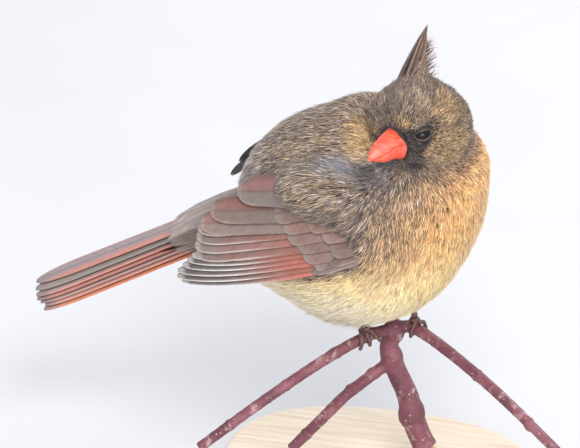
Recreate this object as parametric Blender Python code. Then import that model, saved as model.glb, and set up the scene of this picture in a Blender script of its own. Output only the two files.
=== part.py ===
"""A still, life-size female northern cardinal, puffed up against the cold, on a cut forked twig.

The bird faces +X and looks over its right shoulder. The twig is held up by a plain display stand,
and the origin is the centre of the underside of the stand's base, with +Z up.
"""

import math

import bmesh
import bpy
import numpy as np
from mathutils import Matrix, Vector

MM = 0.001
GAP = 0.35 * MM
VANE_THICKNESS = 0.5 * MM

# The top of the fork in the twig is the point that the bird is laid out from.
FORK = Vector((6, 0, 73)) * MM

# Where the head is and how it is turned, in the body's axes.
HEAD_CENTRE = FORK + Vector((18.8, -9.9, 96.6)) * MM
HEAD_FORWARD = Vector((-0.485, -0.865, -0.117)).normalized()
HEAD_UP = Vector((-0.425, 0.116, 0.897)).normalized()
HEAD_LEFT = HEAD_UP.cross(HEAD_FORWARD).normalized()
HEAD_AXES = (HEAD_FORWARD, HEAD_LEFT, HEAD_LEFT.cross(HEAD_FORWARD) * -1)

BODY_AXES = (Vector((1, 0, 0)), Vector((0, 1, 0)), Vector((0, 0, 1)))

EYE_START = (12.0, 4.0, 0.4)
EYE_FACING = (0.30, 0.95, 0.08)
EYE_RADIUS = 4.3 * MM
EYE_DEPTH = 3.1 * MM
LID_RADIUS = 3.25 * MM
LID_THICKNESS = 0.7 * MM

BILL_BASE = 17.6
BILL_TIP = 35.8

TAIL_ROOT = FORK + Vector((-64, 0, 45)) * MM
TAIL_PITCH = math.radians(29.5)
TAIL_ROLL = math.radians(11)
TAIL_LENGTH = 96 * MM

WRIST = FORK + Vector((10, -42, 56)) * MM
WING_RUN = Vector((-87, 6, -29)).normalized()
WING_CURVE = 45 * MM
WING_LIFT = 1.0 * MM
WING_BLEND = 4 * MM
WING_START_ANGLE = math.radians(12)

TWIG_RADIUS = 2.3 * MM
STEM_END_Z = -55
BASE_THICKNESS = 9 * MM
BASE_LENGTH = 124 * MM
BASE_WIDTH = 92 * MM
ROD_RADIUS = 2.4 * MM


def clear_scene():
    """Empties the scene of whatever it starts with."""
    for old in list(bpy.data.objects):
        bpy.data.objects.remove(old, do_unlink=True)


def paint(name, colour, roughness, metallic=0.0):
    """A plain material of one colour."""
    material = bpy.data.materials.new(name)
    material.use_nodes = True
    shader = material.node_tree.nodes["Principled BSDF"]
    shader.inputs["Base Color"].default_value = (*colour, 1.0)
    shader.inputs["Roughness"].default_value = roughness
    shader.inputs["Metallic"].default_value = metallic
    return material


def place(origin, axes, spot):
    """A point given in millimetres along three axes from an origin."""
    return origin + (axes[0] * spot[0] + axes[1] * spot[1] + axes[2] * spot[2]) * MM


def form(origin, axes, spot, radii, pitch=0.0, blend=0.0):
    """An ellipsoid of flesh and feathers: centre, radii, its own axes and how softly it joins the rest."""
    turn = math.radians(pitch)
    forward, left, up = axes
    along = forward * math.cos(turn) + up * math.sin(turn)
    rise = up * math.cos(turn) - forward * math.sin(turn)
    rows = np.array([along, left, rise])
    centre = np.array(place(origin, axes, spot))
    return centre, np.array(radii) * MM, rows, blend * MM


def flesh_forms():
    """Every ellipsoid that the puffed outline of the bird is blended from."""
    body = (FORK, BODY_AXES)
    head = (HEAD_CENTRE, HEAD_AXES)
    return [
        form(*body, (-11, 0, 42.2), (44.5, 37, 40), pitch=24),
        form(*body, (-27, 0, 61), (37, 31, 28), pitch=34, blend=14),
        form(*body, (-38, 0, 33), (32, 18, 15), pitch=22, blend=14),
        form(*body, (10, -1, 62), (29, 32, 30), blend=12),
        form(*body, (17.5, -3, 78), (23, 25, 19), blend=10),
        form(*head, (0, 0, 0), (18, 17.5, 17.5), blend=8),
        form(*head, (10, 0, -2), (12, 12.5, 11.5), blend=6),
        form(*head, (6, 0, 8), (13, 12.5, 12), blend=8),
        form(*head, (-3, 0, 18), (4.5, 6, 12), pitch=34, blend=13),
    ]


def shoulder_forms():
    """The feathers of breast and back that lie over the front of each folded wing."""
    return [form(FORK, BODY_AXES, (-3, 31 * side, 61.6), (20, 13.5, 11), pitch=-45, blend=7) for side in (1, -1)]


FLESH = flesh_forms()
COVERED = FLESH + shoulder_forms()


def distance(points, forms=FLESH):
    """How far each point lies outside the blended outline; inside it is negative."""
    total = None
    for centre, radii, rows, blend in forms:
        local = (points - centre) @ rows.T
        near = np.linalg.norm(local / radii, axis=1)
        steep = np.linalg.norm(local / radii**2, axis=1)
        gap = near * (near - 1.0) / np.maximum(steep, 1e-9)
        if total is None:
            total = gap
            continue
        mixed = np.maximum(blend - np.abs(total - gap), 0.0)
        total = np.minimum(total, gap) - mixed**2 / (4 * blend)
    return total


def grid_sphere(cells):
    """A unit sphere of even quads, made from a cube of cells by cells faces a side."""
    mesh = bmesh.new()
    bmesh.ops.create_cube(mesh, size=2.0)
    bmesh.ops.subdivide_edges(mesh, edges=mesh.edges[:], cuts=cells - 1, use_grid_fill=True)
    for vertex in mesh.verts:
        even = [math.tan(c * math.pi / 4) for c in vertex.co]
        vertex.co = Vector(even).normalized()
    return mesh


def wrap(centre, cells, forms, grow=0.0):
    """A closed mesh over the outline as seen from a point inside it, grown outwards by a distance."""
    mesh = grid_sphere(cells)
    rays = np.array([v.co for v in mesh.verts])
    start = np.array(centre)
    near = np.zeros(len(rays))
    far = np.full(len(rays), 160 * MM)
    for _ in range(36):
        middle = (near + far) / 2
        inside = distance(start + rays * middle[:, None], forms) < grow
        near = np.where(inside, middle, near)
        far = np.where(inside, far, middle)
    for vertex, spot in zip(mesh.verts, start + rays * near[:, None]):
        vertex.co = spot
    bmesh.ops.triangulate(mesh, faces=mesh.faces[:])
    return mesh


def to_object(name, mesh, material=None):
    """A bmesh as an object in the scene, smooth where it is round."""
    bmesh.ops.recalc_face_normals(mesh, faces=mesh.faces[:])
    data = bpy.data.meshes.new(name)
    mesh.to_mesh(data)
    mesh.free()
    made = bpy.data.objects.new(name, data)
    bpy.context.scene.collection.objects.link(made)
    if material:
        data.materials.append(material)
    return made


def slice_mesh(mesh, point, normal):
    """Cuts away what lies on the side that the normal points to, and closes the cut."""
    geometry = mesh.verts[:] + mesh.edges[:] + mesh.faces[:]
    cut = bmesh.ops.bisect_plane(
        mesh, geom=geometry, dist=1e-7, plane_co=point, plane_no=normal, clear_outer=True
    )
    edges = [e for e in cut["geom_cut"] if isinstance(e, bmesh.types.BMEdge)]
    bmesh.ops.holes_fill(mesh, edges=edges)
    bmesh.ops.triangulate(mesh, faces=mesh.faces[:])


def loft(rings):
    """A closed mesh through rings of points, each split into triangles the same way, with flat ends."""
    mesh = bmesh.new()
    rows = [[mesh.verts.new(p) for p in ring] for ring in rings]
    count = len(rings[0])
    for lower, upper in zip(rows, rows[1:]):
        for i in range(count):
            j = (i + 1) % count
            mesh.faces.new((lower[i], lower[j], upper[j]))
            mesh.faces.new((lower[i], upper[j], upper[i]))
    for ring, points in ((rows[0], rings[0]), (rows[-1], rings[-1])):
        hub = mesh.verts.new(sum((Vector(p) for p in points), Vector()) / count)
        for i in range(count):
            mesh.faces.new((ring[i], ring[(i + 1) % count], hub))
    return mesh


def smooth_path(points, steps):
    """Points along a Catmull-Rom curve through the given ones."""
    ends = [points[0] * 2 - points[1], *points, points[-1] * 2 - points[-2]]
    path = []
    for a, b, c, d in zip(ends, ends[1:], ends[2:], ends[3:]):
        for k in range(steps):
            t = k / steps
            path.append(
                0.5 * (2 * b + (c - a) * t + (2 * a - 5 * b + 4 * c - d) * t**2
                       + (3 * b - a - 3 * c + d) * t**3)
            )
    return [*path, points[-1]]


def tube(path, radii, sides=8):
    """A round rod along a path, with a radius at each end or at each point."""
    if len(radii) != len(path):
        radii = [radii[0] + (radii[1] - radii[0]) * i / (len(path) - 1) for i in range(len(path))]
    rings = []
    side = None
    for i, spot in enumerate(path):
        run = (path[min(i + 1, len(path) - 1)] - path[max(i - 1, 0)]).normalized()
        if side is None:
            side = run.orthogonal().normalized()
        side = (side - run * side.dot(run)).normalized()
        other = run.cross(side)
        turns = [2 * math.pi * k / sides for k in range(sides)]
        rings.append([spot + (side * math.cos(t) + other * math.sin(t)) * radii[i] for t in turns])
    return loft(rings)


def outline_width(share):
    """How wide a feather is at a share of its length, narrow at the quill and round at the tip."""
    rise = min(1.0, 0.42 + 2.4 * share)
    fall = math.sqrt(max(0.0, 1.0 - max(0.0, (share - 0.72) / 0.30) ** 2))
    return rise * (0.12 + 0.88 * fall)


def pointed_width(share):
    """How wide a crest feather is: it tapers all the way to a fine tip."""
    return max(0.06, (1.0 - share) ** 0.75)


def vane(locate, length_rows, width, profile=outline_width, thickness=VANE_THICKNESS, columns=2):
    """A feather as one thin closed strip, its two faces split alike.

    locate(share, across) gives the middle of its thickness and its outward normal, for a share of
    the length and a distance across in metres.
    """
    upper, lower = [], []
    for i in range(length_rows + 1):
        share = i / length_rows
        half = width * profile(share) / 2
        thin = thickness * (1.0 if share < 0.8 else 0.7) / 2
        tops, unders = [], []
        for j in range(columns + 1):
            spot, normal = locate(share, half * (2 * j / columns - 1))
            tops.append(spot + normal * thin)
            unders.append(spot - normal * thin)
        upper.append(tops)
        lower.append(unders)
    mesh = bmesh.new()
    up = [[mesh.verts.new(p) for p in row] for row in upper]
    down = [[mesh.verts.new(p) for p in row] for row in lower]
    for i in range(length_rows):
        for j in range(columns):
            for grid, order in ((up, 1), (down, -1)):
                a, b, c, d = grid[i][j], grid[i + 1][j], grid[i + 1][j + 1], grid[i][j + 1]
                mesh.faces.new((a, b, c)[::order])
                mesh.faces.new((a, c, d)[::order])
    rim = [(i, 0) for i in range(length_rows)] + [(length_rows, j) for j in range(columns)]
    rim += [(i, columns) for i in range(length_rows, 0, -1)] + [(0, j) for j in range(columns, 0, -1)]
    for (i, j), (k, m) in zip(rim, rim[1:] + rim[:1]):
        mesh.faces.new((up[i][j], down[i][j], down[k][m]))
        mesh.faces.new((up[i][j], down[k][m], up[k][m]))
    return mesh


def straight_vane(root, tip, normal, width, lift=0.0, camber=0.0, **options):
    """A feather from root to tip that bows away from its chord by lift and is arched by camber."""
    run = tip - root
    side = normal.cross(run).normalized()
    face = run.cross(side).normalized()

    def locate(share, across):
        bow = lift * 4 * share * (1 - share)
        arch = camber * (1 - (2 * across / width) ** 2)
        return root + run * share + side * across + face * (bow + arch), face

    return vane(locate, options.pop("rows", 4), width, **options)


def tidy(mesh, within=0.004 * MM):
    """Joins points that nearly coincide and drops faces that have collapsed."""
    bmesh.ops.remove_doubles(mesh, verts=mesh.verts[:], dist=within)
    bmesh.ops.dissolve_degenerate(mesh, edges=mesh.edges[:], dist=within / 2)
    bmesh.ops.triangulate(mesh, faces=mesh.faces[:])


def keep_largest(made):
    """Drops every loose scrap and sealed hollow, so that one closed surface is left."""
    mesh = bmesh.new()
    mesh.from_mesh(made.data)
    tidy(mesh)
    mesh.verts.index_update()
    group = {}
    pieces = []
    for start in mesh.faces:
        if start in group:
            continue
        piece, todo = [], [start]
        group[start] = len(pieces)
        while todo:
            face = todo.pop()
            piece.append(face)
            for edge in face.edges:
                for other in edge.link_faces:
                    if other not in group:
                        group[other] = len(pieces)
                        todo.append(other)
        pieces.append(piece)
    if len(pieces) > 1:
        sizes = [sum(f.calc_area() for f in piece) for piece in pieces]
        keep = sizes.index(max(sizes))
        loose = [f for i, piece in enumerate(pieces) if i != keep for f in piece]
        bmesh.ops.delete(mesh, geom=loose, context="FACES")
    mesh.to_mesh(made.data)
    mesh.free()


def boolean(made, others, operation, solver="EXACT"):
    """Joins or cuts a mesh by others, which are then removed."""
    group = bpy.data.collections.new("pieces")
    bpy.context.scene.collection.children.link(group)
    for other in others:
        for home in list(other.users_collection):
            home.objects.unlink(other)
        group.objects.link(other)
    step = made.modifiers.new("step", "BOOLEAN")
    step.operation = operation
    step.operand_type = "COLLECTION"
    step.collection = group
    step.solver = solver
    graph = bpy.context.evaluated_depsgraph_get()
    data = bpy.data.meshes.new_from_object(made.evaluated_get(graph))
    made.modifiers.clear()
    old = made.data
    data.name = old.name
    made.data = data
    bpy.data.meshes.remove(old)
    for other in list(group.objects):
        bpy.data.objects.remove(other, do_unlink=True)
    bpy.data.collections.remove(group)


def fuse(name, meshes, material, cutters=()):
    """One closed body from many closed meshes, cut clear of its neighbours."""
    made = to_object(name, meshes[0], material)
    rest = [to_object(f"{name}_piece", mesh) for mesh in meshes[1:]]
    if rest:
        boolean(made, rest, "UNION")
    for cutter in cutters:
        boolean(made, [to_object("cutter", cutter)], "DIFFERENCE")
    keep_largest(made)
    made.data.shade_smooth()
    made.data.set_sharp_from_angle(angle=math.radians(40))
    return made


def ball(centre, radius, cells=8):
    """A sphere of even faces."""
    mesh = grid_sphere(cells)
    bmesh.ops.triangulate(mesh, faces=mesh.faces[:])
    bmesh.ops.scale(mesh, vec=(radius,) * 3, verts=mesh.verts[:])
    bmesh.ops.translate(mesh, vec=centre, verts=mesh.verts[:])
    return mesh


def lump(centre, axes, radii, cells=5):
    """An ellipsoid along three axes, with radii in millimetres."""
    mesh = grid_sphere(cells)
    bmesh.ops.triangulate(mesh, faces=mesh.faces[:])
    for vertex in mesh.verts:
        x, y, z = vertex.co
        vertex.co = centre + (axes[0] * radii[0] * x + axes[1] * radii[1] * y + axes[2] * radii[2] * z) * MM
    return mesh


# Head, neck and torso

BODY_HEART = FORK + Vector((0, 0, 58)) * MM
THROAT_NORMAL = Vector((0.45, -0.25, 0.86)).normalized()
THROAT_POINT = FORK + Vector((3.0, -15.0, 84.6)) * MM
COLLAR_NORMAL = THROAT_NORMAL
COLLAR_POINT = THROAT_POINT - THROAT_NORMAL * 7 * MM
TORSO_CELLS = 14
HEAD_CELLS = 12
LID_STEPS = 18


def body_cutter(forms):
    """The torso's own surface, grown by the gap that neighbours keep from it."""
    return wrap(BODY_HEART, TORSO_CELLS, forms, GAP)


def build_torso(forms, skin):
    """Breast, back and belly up to the collar."""
    mesh = wrap(BODY_HEART, TORSO_CELLS, forms)
    slice_mesh(mesh, COLLAR_POINT - COLLAR_NORMAL * GAP / 2, COLLAR_NORMAL)
    return fuse("torso", [mesh], skin)


def build_neck(forms, skin):
    """The short puffed neck between the collar and the throat."""
    mesh = wrap(BODY_HEART, TORSO_CELLS, forms)
    slice_mesh(mesh, COLLAR_POINT + COLLAR_NORMAL * GAP / 2, -COLLAR_NORMAL)
    slice_mesh(mesh, THROAT_POINT - THROAT_NORMAL * GAP / 2, THROAT_NORMAL)
    return fuse("neck", [mesh], skin)


def head_spot(spot):
    """A point in the head's own axes, in millimetres from its centre."""
    return place(HEAD_CENTRE, HEAD_AXES, spot)


def head_way(way):
    """A direction in the head's own axes."""
    return (HEAD_AXES[0] * way[0] + HEAD_AXES[1] * way[1] + HEAD_AXES[2] * way[2]).normalized()


def mirrored(spot, side):
    """A left-hand place or direction on the left side, side 1, or on the right side, side -1."""
    return spot[0], spot[1] * side, spot[2]


def eye_centre(side, forms):
    """The middle of an eye, sunk below the surface of the face by the eye's depth."""
    way = head_way(mirrored(EYE_FACING, side))
    start = head_spot(mirrored(EYE_START, side))
    shallow, deep = 12 * MM, 0.0
    for _ in range(30):
        middle = (shallow + deep) / 2
        if distance(np.array([start + way * middle]), forms)[0] < -EYE_DEPTH:
            deep = middle
        else:
            shallow = middle
    return start + way * deep


def lid_ring(side, centre):
    """The raised ring of bare lid round an eye."""
    axis = head_way(mirrored(EYE_FACING, side))
    first = axis.orthogonal().normalized()
    second = axis.cross(first)
    middle = centre + axis * math.sqrt(EYE_RADIUS**2 - LID_RADIUS**2)
    mesh = bmesh.new()
    rings = []
    for k in range(LID_STEPS):
        turn = 2 * math.pi * k / LID_STEPS
        out = first * math.cos(turn) + second * math.sin(turn)
        spot = middle + out * LID_RADIUS
        ring = []
        for j in range(6):
            roll = 2 * math.pi * j / 6
            ring.append(mesh.verts.new(spot + (out * math.cos(roll) + axis * math.sin(roll)) * LID_THICKNESS))
        rings.append(ring)
    for lower, upper in zip(rings, rings[1:] + rings[:1]):
        for i in range(6):
            j = (i + 1) % 6
            mesh.faces.new((lower[i], lower[j], upper[j]))
            mesh.faces.new((lower[i], upper[j], upper[i]))
    return mesh


def brow(side, eye):
    """The ridge of feathers that shades the top of an eye."""
    out = head_way(mirrored(EYE_FACING, side))
    centre = eye + out * 2.4 * MM + HEAD_AXES[2] * 3.9 * MM
    along = head_way(mirrored((0.92, -0.30, -0.20), side))
    out = (out - along * out.dot(along)).normalized()
    return lump(centre, (along, out, along.cross(out)), (6.0, 2.0, 1.7), 4)


CREST_TIP = (-16.1, 0.0, 34.6)
CREST_ROWS = 5


def crest_vanes():
    """The crest, feather by feather: long ones in front that meet in a point, shorter ones behind."""
    vanes = []
    for row in range(CREST_ROWS):
        back = row / (CREST_ROWS - 1)
        for side in (-1, 1) if row == 0 else (-1, 0, 1):
            spread = abs(side)
            root = head_spot((4.0 - 10.0 * back, side * (1.6 + 2.2 * back), 19.5 - 4.0 * back - 1.5 * spread))
            tip = head_spot((
                CREST_TIP[0] + 3.2 * back - 1.1 * side * back,
                side * (0.5 + 2.4 * back),
                CREST_TIP[2] - 11.5 * back - 2.0 * spread * back,
            ))
            out = head_way((0.75 - 0.4 * spread, 0.8 * side, 0.45))
            vanes.append(straight_vane(root, tip, out, (6.4 - 1.6 * back) * MM, lift=-1.0 * MM,
                                       profile=pointed_width))
    return vanes


def build_head(forms, skin):
    """The head with its crest, lids and brows, open at the eye sockets and where the bill leaves it."""
    mesh = wrap(HEAD_CENTRE, HEAD_CELLS, forms)
    slice_mesh(mesh, THROAT_POINT + THROAT_NORMAL * GAP / 2, -THROAT_NORMAL)
    pieces = [mesh, *crest_vanes()]
    cutters = [bill_core(grow=GAP / MM)]
    for side in (1, -1):
        eye = eye_centre(side, forms)
        pieces += [lid_ring(side, eye), brow(side, eye)]
        cutters.append(ball(eye, EYE_RADIUS + GAP, 6))
    return fuse("head", pieces, skin, cutters)


# Bill and eyes


def bill_outline(share):
    """Heights of culmen, gape line and chin, and half the width, in millimetres, at a share of the bill."""
    culmen = 6.9 * math.sqrt(max(0.0, 1 - share**1.75)) - 0.5 * share
    gape = -2.0 + 1.9 * share + 1.3 * math.exp(-(((share - 0.32) / 0.2) ** 2)) - 0.6 * share**4
    chin = gape - 6.2 * max(0.0, 1 - (share / 0.93) ** 1.5) ** 0.8 if share < 0.93 else gape
    width = 6.3 * max(0.0, 1 - share**1.3) ** 0.72
    return culmen, gape, chin, width


def bill_ring(share, upper, grow=0.0):
    """One cross-section of the upper or lower mandible."""
    culmen, gape, chin, width = bill_outline(share)
    half = 0.5 * GAP / MM - grow
    if upper:
        floor, height = gape + half, culmen - gape - half + grow
    else:
        floor, height = gape - half, chin - gape + half - grow
    width = max(width, 0.35) + grow
    height = max(abs(height), 0.45) * (1 if upper else -1)
    ahead = BILL_BASE + (BILL_TIP - BILL_BASE) * share
    ring = []
    for k in range(9):
        turn = math.pi * k / 8
        across = math.copysign(abs(math.cos(turn)) ** 0.85, math.cos(turn)) * width
        ring.append(head_spot((ahead, across, floor + height * abs(math.sin(turn)) ** 1.15)))
    ring.append(head_spot((ahead, -width * 0.4, floor)))
    ring.append(head_spot((ahead, width * 0.4, floor)))
    return ring


BILL_STEPS = (0.0, 0.14, 0.28, 0.42, 0.54, 0.66, 0.77, 0.87, 0.95, 1.0)


def mandible(upper, grow=0.0):
    """The upper or lower half of the bill."""
    last = 1.0 if upper else 0.92
    return loft([bill_ring(share * last, upper, grow) for share in BILL_STEPS])


def bill_core(grow):
    """Both halves as one form, grown by a margin, to cut the bill's place out of the head."""
    rings = []
    for share in BILL_STEPS:
        top = bill_ring(share, True, grow)[:9]
        bottom = bill_ring(share, False, grow)[:9]
        rings.append(top + bottom[7:0:-1])
    back = HEAD_AXES[0] * grow * MM
    return loft([[spot - back for spot in rings[0]], *rings])


def build_bill(horn):
    """The two halves of the conical seed-cracking bill, with a nostril on each side of the upper one."""
    pits = [ball(head_spot((BILL_BASE + 3.4, 4.9 * side, 3.4)), 0.75 * MM, 3) for side in (1, -1)]
    fuse("bill_upper", [mandible(True)], horn, pits)
    fuse("bill_lower", [mandible(False)], horn)


def build_eyes(forms, glossy):
    """The two dark eyes, set in their sockets."""
    for name, side in (("eye_left", 1), ("eye_right", -1)):
        fuse(name, [ball(eye_centre(side, forms), EYE_RADIUS, 6)], glossy)


# Tail

TAIL_RUN = Vector((-math.cos(TAIL_PITCH), 0, -math.sin(TAIL_PITCH)))
TAIL_FACE = Vector((-math.sin(TAIL_PITCH), 0, math.cos(TAIL_PITCH)))
TAIL_SIDE = Vector((0, 1, 0)) * math.cos(TAIL_ROLL) + TAIL_FACE * math.sin(TAIL_ROLL)
TAIL_TOP = TAIL_FACE * math.cos(TAIL_ROLL) - Vector((0, 1, 0)) * math.sin(TAIL_ROLL)
TAIL_AXES = (TAIL_RUN, TAIL_SIDE, TAIL_TOP)
TAIL_PAIRS = 6
TAIL_LEVEL = 0.85


def tail_vane(start, reach, offset_root, offset_tip, drop, slope, width, droop=0.0, rows=5):
    """A feather along the tail: its place across at root and tip, its depth in the stack and its tilt."""

    def locate(share, across):
        ahead = start + (reach - start) * share
        aside = offset_root + (offset_tip - offset_root) * share + across / MM
        tilt = slope * (across / MM)
        depth = -drop - tilt - droop * share**2
        return place(TAIL_ROOT, TAIL_AXES, (ahead, aside, depth)), TAIL_TOP

    return vane(locate, rows, width * MM)


def build_tail():
    """Twelve long tail feathers in overlapping pairs, with the coverts over and under their roots."""
    pieces = [lump(TAIL_ROOT + TAIL_RUN * 2 * MM - TAIL_TOP * 2 * MM, TAIL_AXES, (15, 8.5, 6.0), 5)]
    length = TAIL_LENGTH / MM
    for side in (1, -1):
        pieces.append(tail_vane(2, length, side * 0.6, side * 2.0, 0.2 if side > 0 else 1.05, 0.0, 10.5))
        for pair in range(1, TAIL_PAIRS):
            pieces.append(tail_vane(
                2, length - 0.8 * pair, side * (1.5 + 0.5 * pair), side * (3.9 + 1.75 * pair),
                1.05 + TAIL_LEVEL * pair, 0.05 * side, 8.6,
            ))
    for reach, aside, depth in ((40, 0, -2.6), (33, -4.5, -1.5), (33, 4.5, -1.5)):
        slope = 0.25 * math.copysign(1, aside) if aside else 0.0
        pieces.append(tail_vane(0, reach, aside * 0.6, aside, depth, slope, 9.5, droop=1.0, rows=4))
    for reach, aside in ((44, 0), (36, -4), (36, 4)):
        pieces.append(tail_vane(0, reach, aside * 0.5, aside, 7.6, 0.0, 8.6, droop=-0.5, rows=4))
    return pieces


# Wings


def sheet_radius(centre, outward, ahead):
    """How far the wing's sheet lies from its axis: on a curve of its own, but never inside the body."""
    free = WING_CURVE - 6 * MM * max(0.0, 1 - ahead / 55) ** 2
    body = free
    for _ in range(5):
        body = max(body - distance(np.array([centre + outward * body]))[0], 10 * MM)
    lowest = body + WING_LIFT
    mixed = max(WING_BLEND - abs(free - lowest), 0.0)
    return max(free, lowest) + mixed**2 / (4 * WING_BLEND)


def wing_spot(ahead, up, out, side):
    """A point on the wing's curved sheet: back from the wrist, up round the flank and out from it, in mm.

    Side -1 is the right wing and side 1 the left one.
    """
    turn = WING_START_ANGLE + up * MM / WING_CURVE
    outward = Vector((0, -math.cos(turn), math.sin(turn)))
    outward = (outward - WING_RUN * outward.dot(WING_RUN)).normalized()
    low = Vector((0, -math.cos(WING_START_ANGLE), math.sin(WING_START_ANGLE)))
    low = (low - WING_RUN * low.dot(WING_RUN)).normalized()
    centre = WRIST - low * WING_CURVE + WING_RUN * ahead * MM
    if side > 0:
        outward.y = -outward.y
        centre.y = 2 * FORK.y - centre.y
    return centre + outward * (sheet_radius(centre, outward, ahead) + out * MM), outward


def wing_vane(side, root, tip, width, out_root, out_tip, slope, rows=4, bow=0.0):
    """A feather laid on the wing's sheet between two places on it, tilted so that the next overlaps it."""
    (s0, t0), (s1, t1) = root, tip

    def locate(share, across):
        ahead = s0 + (s1 - s0) * share
        up = t0 + (t1 - t0) * share + across / MM + bow * 4 * share * (1 - share)
        out = out_root + (out_tip - out_root) * share - slope * across / MM
        return wing_spot(ahead, up, out, side)

    return vane(locate, rows, width * MM)


def wing_core(side):
    """The arm and hand under the coverts: a flattened form on the sheet that every vane is rooted in."""
    rings = []
    for ahead, low, high, thick in (
        (-6, 5, 12, 1.2), (-2, 1, 17, 2.2), (6, -3, 21, 2.8), (16, -5, 25, 2.8),
        (26, -3, 27, 2.5), (33, 2, 27, 2.0), (40, 10, 26, 1.2),
    ):
        ring = []
        for k in range(12):
            turn = 2 * math.pi * k / 12
            up = (low + high) / 2 + (high - low) / 2 * math.cos(turn)
            ring.append(wing_spot(ahead, up, -0.4 + thick * math.sin(turn), side)[0])
        rings.append(ring if side < 0 else ring[::-1])
    return loft(rings)


PRIMARIES = 6
SECONDARIES = 5
GREATER_COVERTS = 5
MEDIAN_COVERTS = 4
TERTIALS = (((29, 17.5), (73, 24.5), 10), ((27, 20.5), (68, 28.5), 10.5), ((25, 23.5), (58, 32), 11))
ALULA = (((8, -2.5), (32, -5.6), 4.6), ((6, -0.5), (25, -3.2), 4.6))


def wing_pieces(side):
    """Every feather of one wing in its tier, over the core."""
    pieces = [wing_core(side)]
    for k in range(PRIMARIES):
        tip = (91.5 - 1.3 * abs(k - 1), 0.2 + 2.0 * k)
        pieces.append(wing_vane(side, (12 + 2.2 * k, -3.4 + 1.9 * k), tip, 7.6, 0.0, 0.3, 0.47,
                                rows=5, bow=-2.2 + 0.3 * k))
    for k in range(SECONDARIES):
        tip = (79.0 - 0.6 * k, 13.2 + 2.7 * k)
        pieces.append(wing_vane(side, (25 + 2.2 * k, 9.0 + 2.7 * k), tip, 9.0, 0.3, 0.5, 0.34))
    for root, tip, width in TERTIALS:
        pieces.append(wing_vane(side, root, tip, width, 1.0, 1.9, 0.24))
    for k in range(GREATER_COVERTS):
        share = k / (GREATER_COVERTS - 1)
        tip = (32.0 + 14.0 * share, 0.5 + 20.0 * share)
        pieces.append(wing_vane(side, (tip[0] - 16, tip[1] - 0.5), tip, 8.6, 1.3, 3.3, 0.24, rows=3))
    for k in range(MEDIAN_COVERTS):
        share = k / (MEDIAN_COVERTS - 1)
        tip = (21.0 + 14.0 * share, 3.0 + 18.0 * share)
        pieces.append(wing_vane(side, (tip[0] - 11, tip[1] - 0.5), tip, 8.4, 1.9, 3.9, 0.24, rows=3))
    for root, tip, width in ALULA:
        pieces.append(wing_vane(side, root, tip, width, 1.2, 2.5, 0.2, rows=3))
    return pieces


# Legs and feet

FEET = {
    "right": {"spot": Vector((-7.5, -9, -3.1)), "run": Vector((-0.78, -0.56, -0.28))},
    "left": {"spot": Vector((9.5, 2.6, -2.8)), "run": Vector((0.96, -0.12, -0.24))},
}
TOE_RADIUS = 0.95 * MM
CLAW_LENGTH_TURN = math.radians(42)


def toe(centre, run, across, sign, start, end, shift, splay):
    """One toe and its claw, curled round the twig from its top to the underside."""
    reach = TWIG_RADIUS + TOE_RADIUS + GAP
    up = run.cross(across).normalized()
    if up.z < 0:
        up = -up
    steps = 6
    path, radii = [], []
    last = end - CLAW_LENGTH_TURN
    for k in range(steps + 3):
        if k <= steps:
            turn = start + (end - start) * k / steps
            bump = 1.12 if k % 2 else 0.96
            radius = TOE_RADIUS * (1.0 - 0.22 * k / steps) * bump
            clear = 0.0
        else:
            share = (k - steps) / 2
            turn = end + (last - end) * share
            radius = TOE_RADIUS * (0.60 - 0.45 * share)
            clear = 0.35 * MM * share
        slide = shift + splay * k / steps
        path.append(centre + run * slide + (across * sign * math.cos(turn) + up * math.sin(turn)) * (reach + clear))
        radii.append(radius)
    return tube(path, radii, 5)


def foot_pieces(name):
    """Three toes forwards, the hind toe back, and the ball of the foot on the twig."""
    centre = FORK + FEET[name]["spot"] * MM
    run = FEET[name]["run"].normalized()
    across = Vector((0, 0, 1)).cross(run).normalized()
    if across.x < 0:
        across = -across
    up = Vector((0, 0, 1))
    reach = TWIG_RADIUS + TOE_RADIUS + GAP
    pieces = [lump(centre + up * (reach + 0.5 * MM), (run, across, up), (2.3, 2.0, 1.35), 3)]
    top = math.radians(100)
    for shift, splay, end in ((0.0, 0.0, -62), (-1.2, -3.2, -46), (1.2, 3.2, -46)):
        pieces.append(toe(centre, run, across, 1, top, math.radians(end), shift * MM, splay * MM))
    pieces.append(toe(centre, run, across, -1, top, math.radians(-52), 0.0, 0.0))
    return pieces


def leg_path(name):
    """The shank from the belly feathers down to the ball of the foot."""
    centre = FORK + FEET[name]["spot"] * MM
    bottom = centre + Vector((0, 0, TWIG_RADIUS + 2 * TOE_RADIUS + GAP + 1.25 * MM))
    top = bottom + Vector((-3.5, 0, 14)) * MM
    return [bottom, bottom + (top - bottom) * 0.5, top]


# Perch and stand

ARM_PATHS = {
    "left": ((3, 1.5, -2.6), (-7.5, -9, -3.1), (-24, -19, -12), (-45, -32, -26.5), (-67, -45, -43)),
    "low": ((1, 0, -17), (-6.7, -6, -22.6), (-13.8, -18, -26.2), (-20.4, -32, -31), (-28, -48, -36.5)),
    "right": ((3, 1.5, -2.6), (9.5, 2.6, -2.8), (26, -6, -7), (51, -22, -15), (79, -40, -27)),
}
KNOTS = (((1.5, 0.5, -4.0), 4.6), ((2.0, -0.5, -17), 5.4), ((9.5, -0.2, -40), 5.6))
STEM_PATH = ((2.0, 1, -1.5), (-0.4, 0, -11.7), (2.6, 0, -21), (7.45, 0, -32.2), (9.9, 0, -42.7), (17, 0, STEM_END_Z - 5))


def twig(points, radii, sides=8, steps=3):
    """A length of twig through points given in millimetres from the fork."""
    return tube(smooth_path([FORK + Vector(p) * MM for p in points], steps), [r * MM for r in radii], sides)


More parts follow.
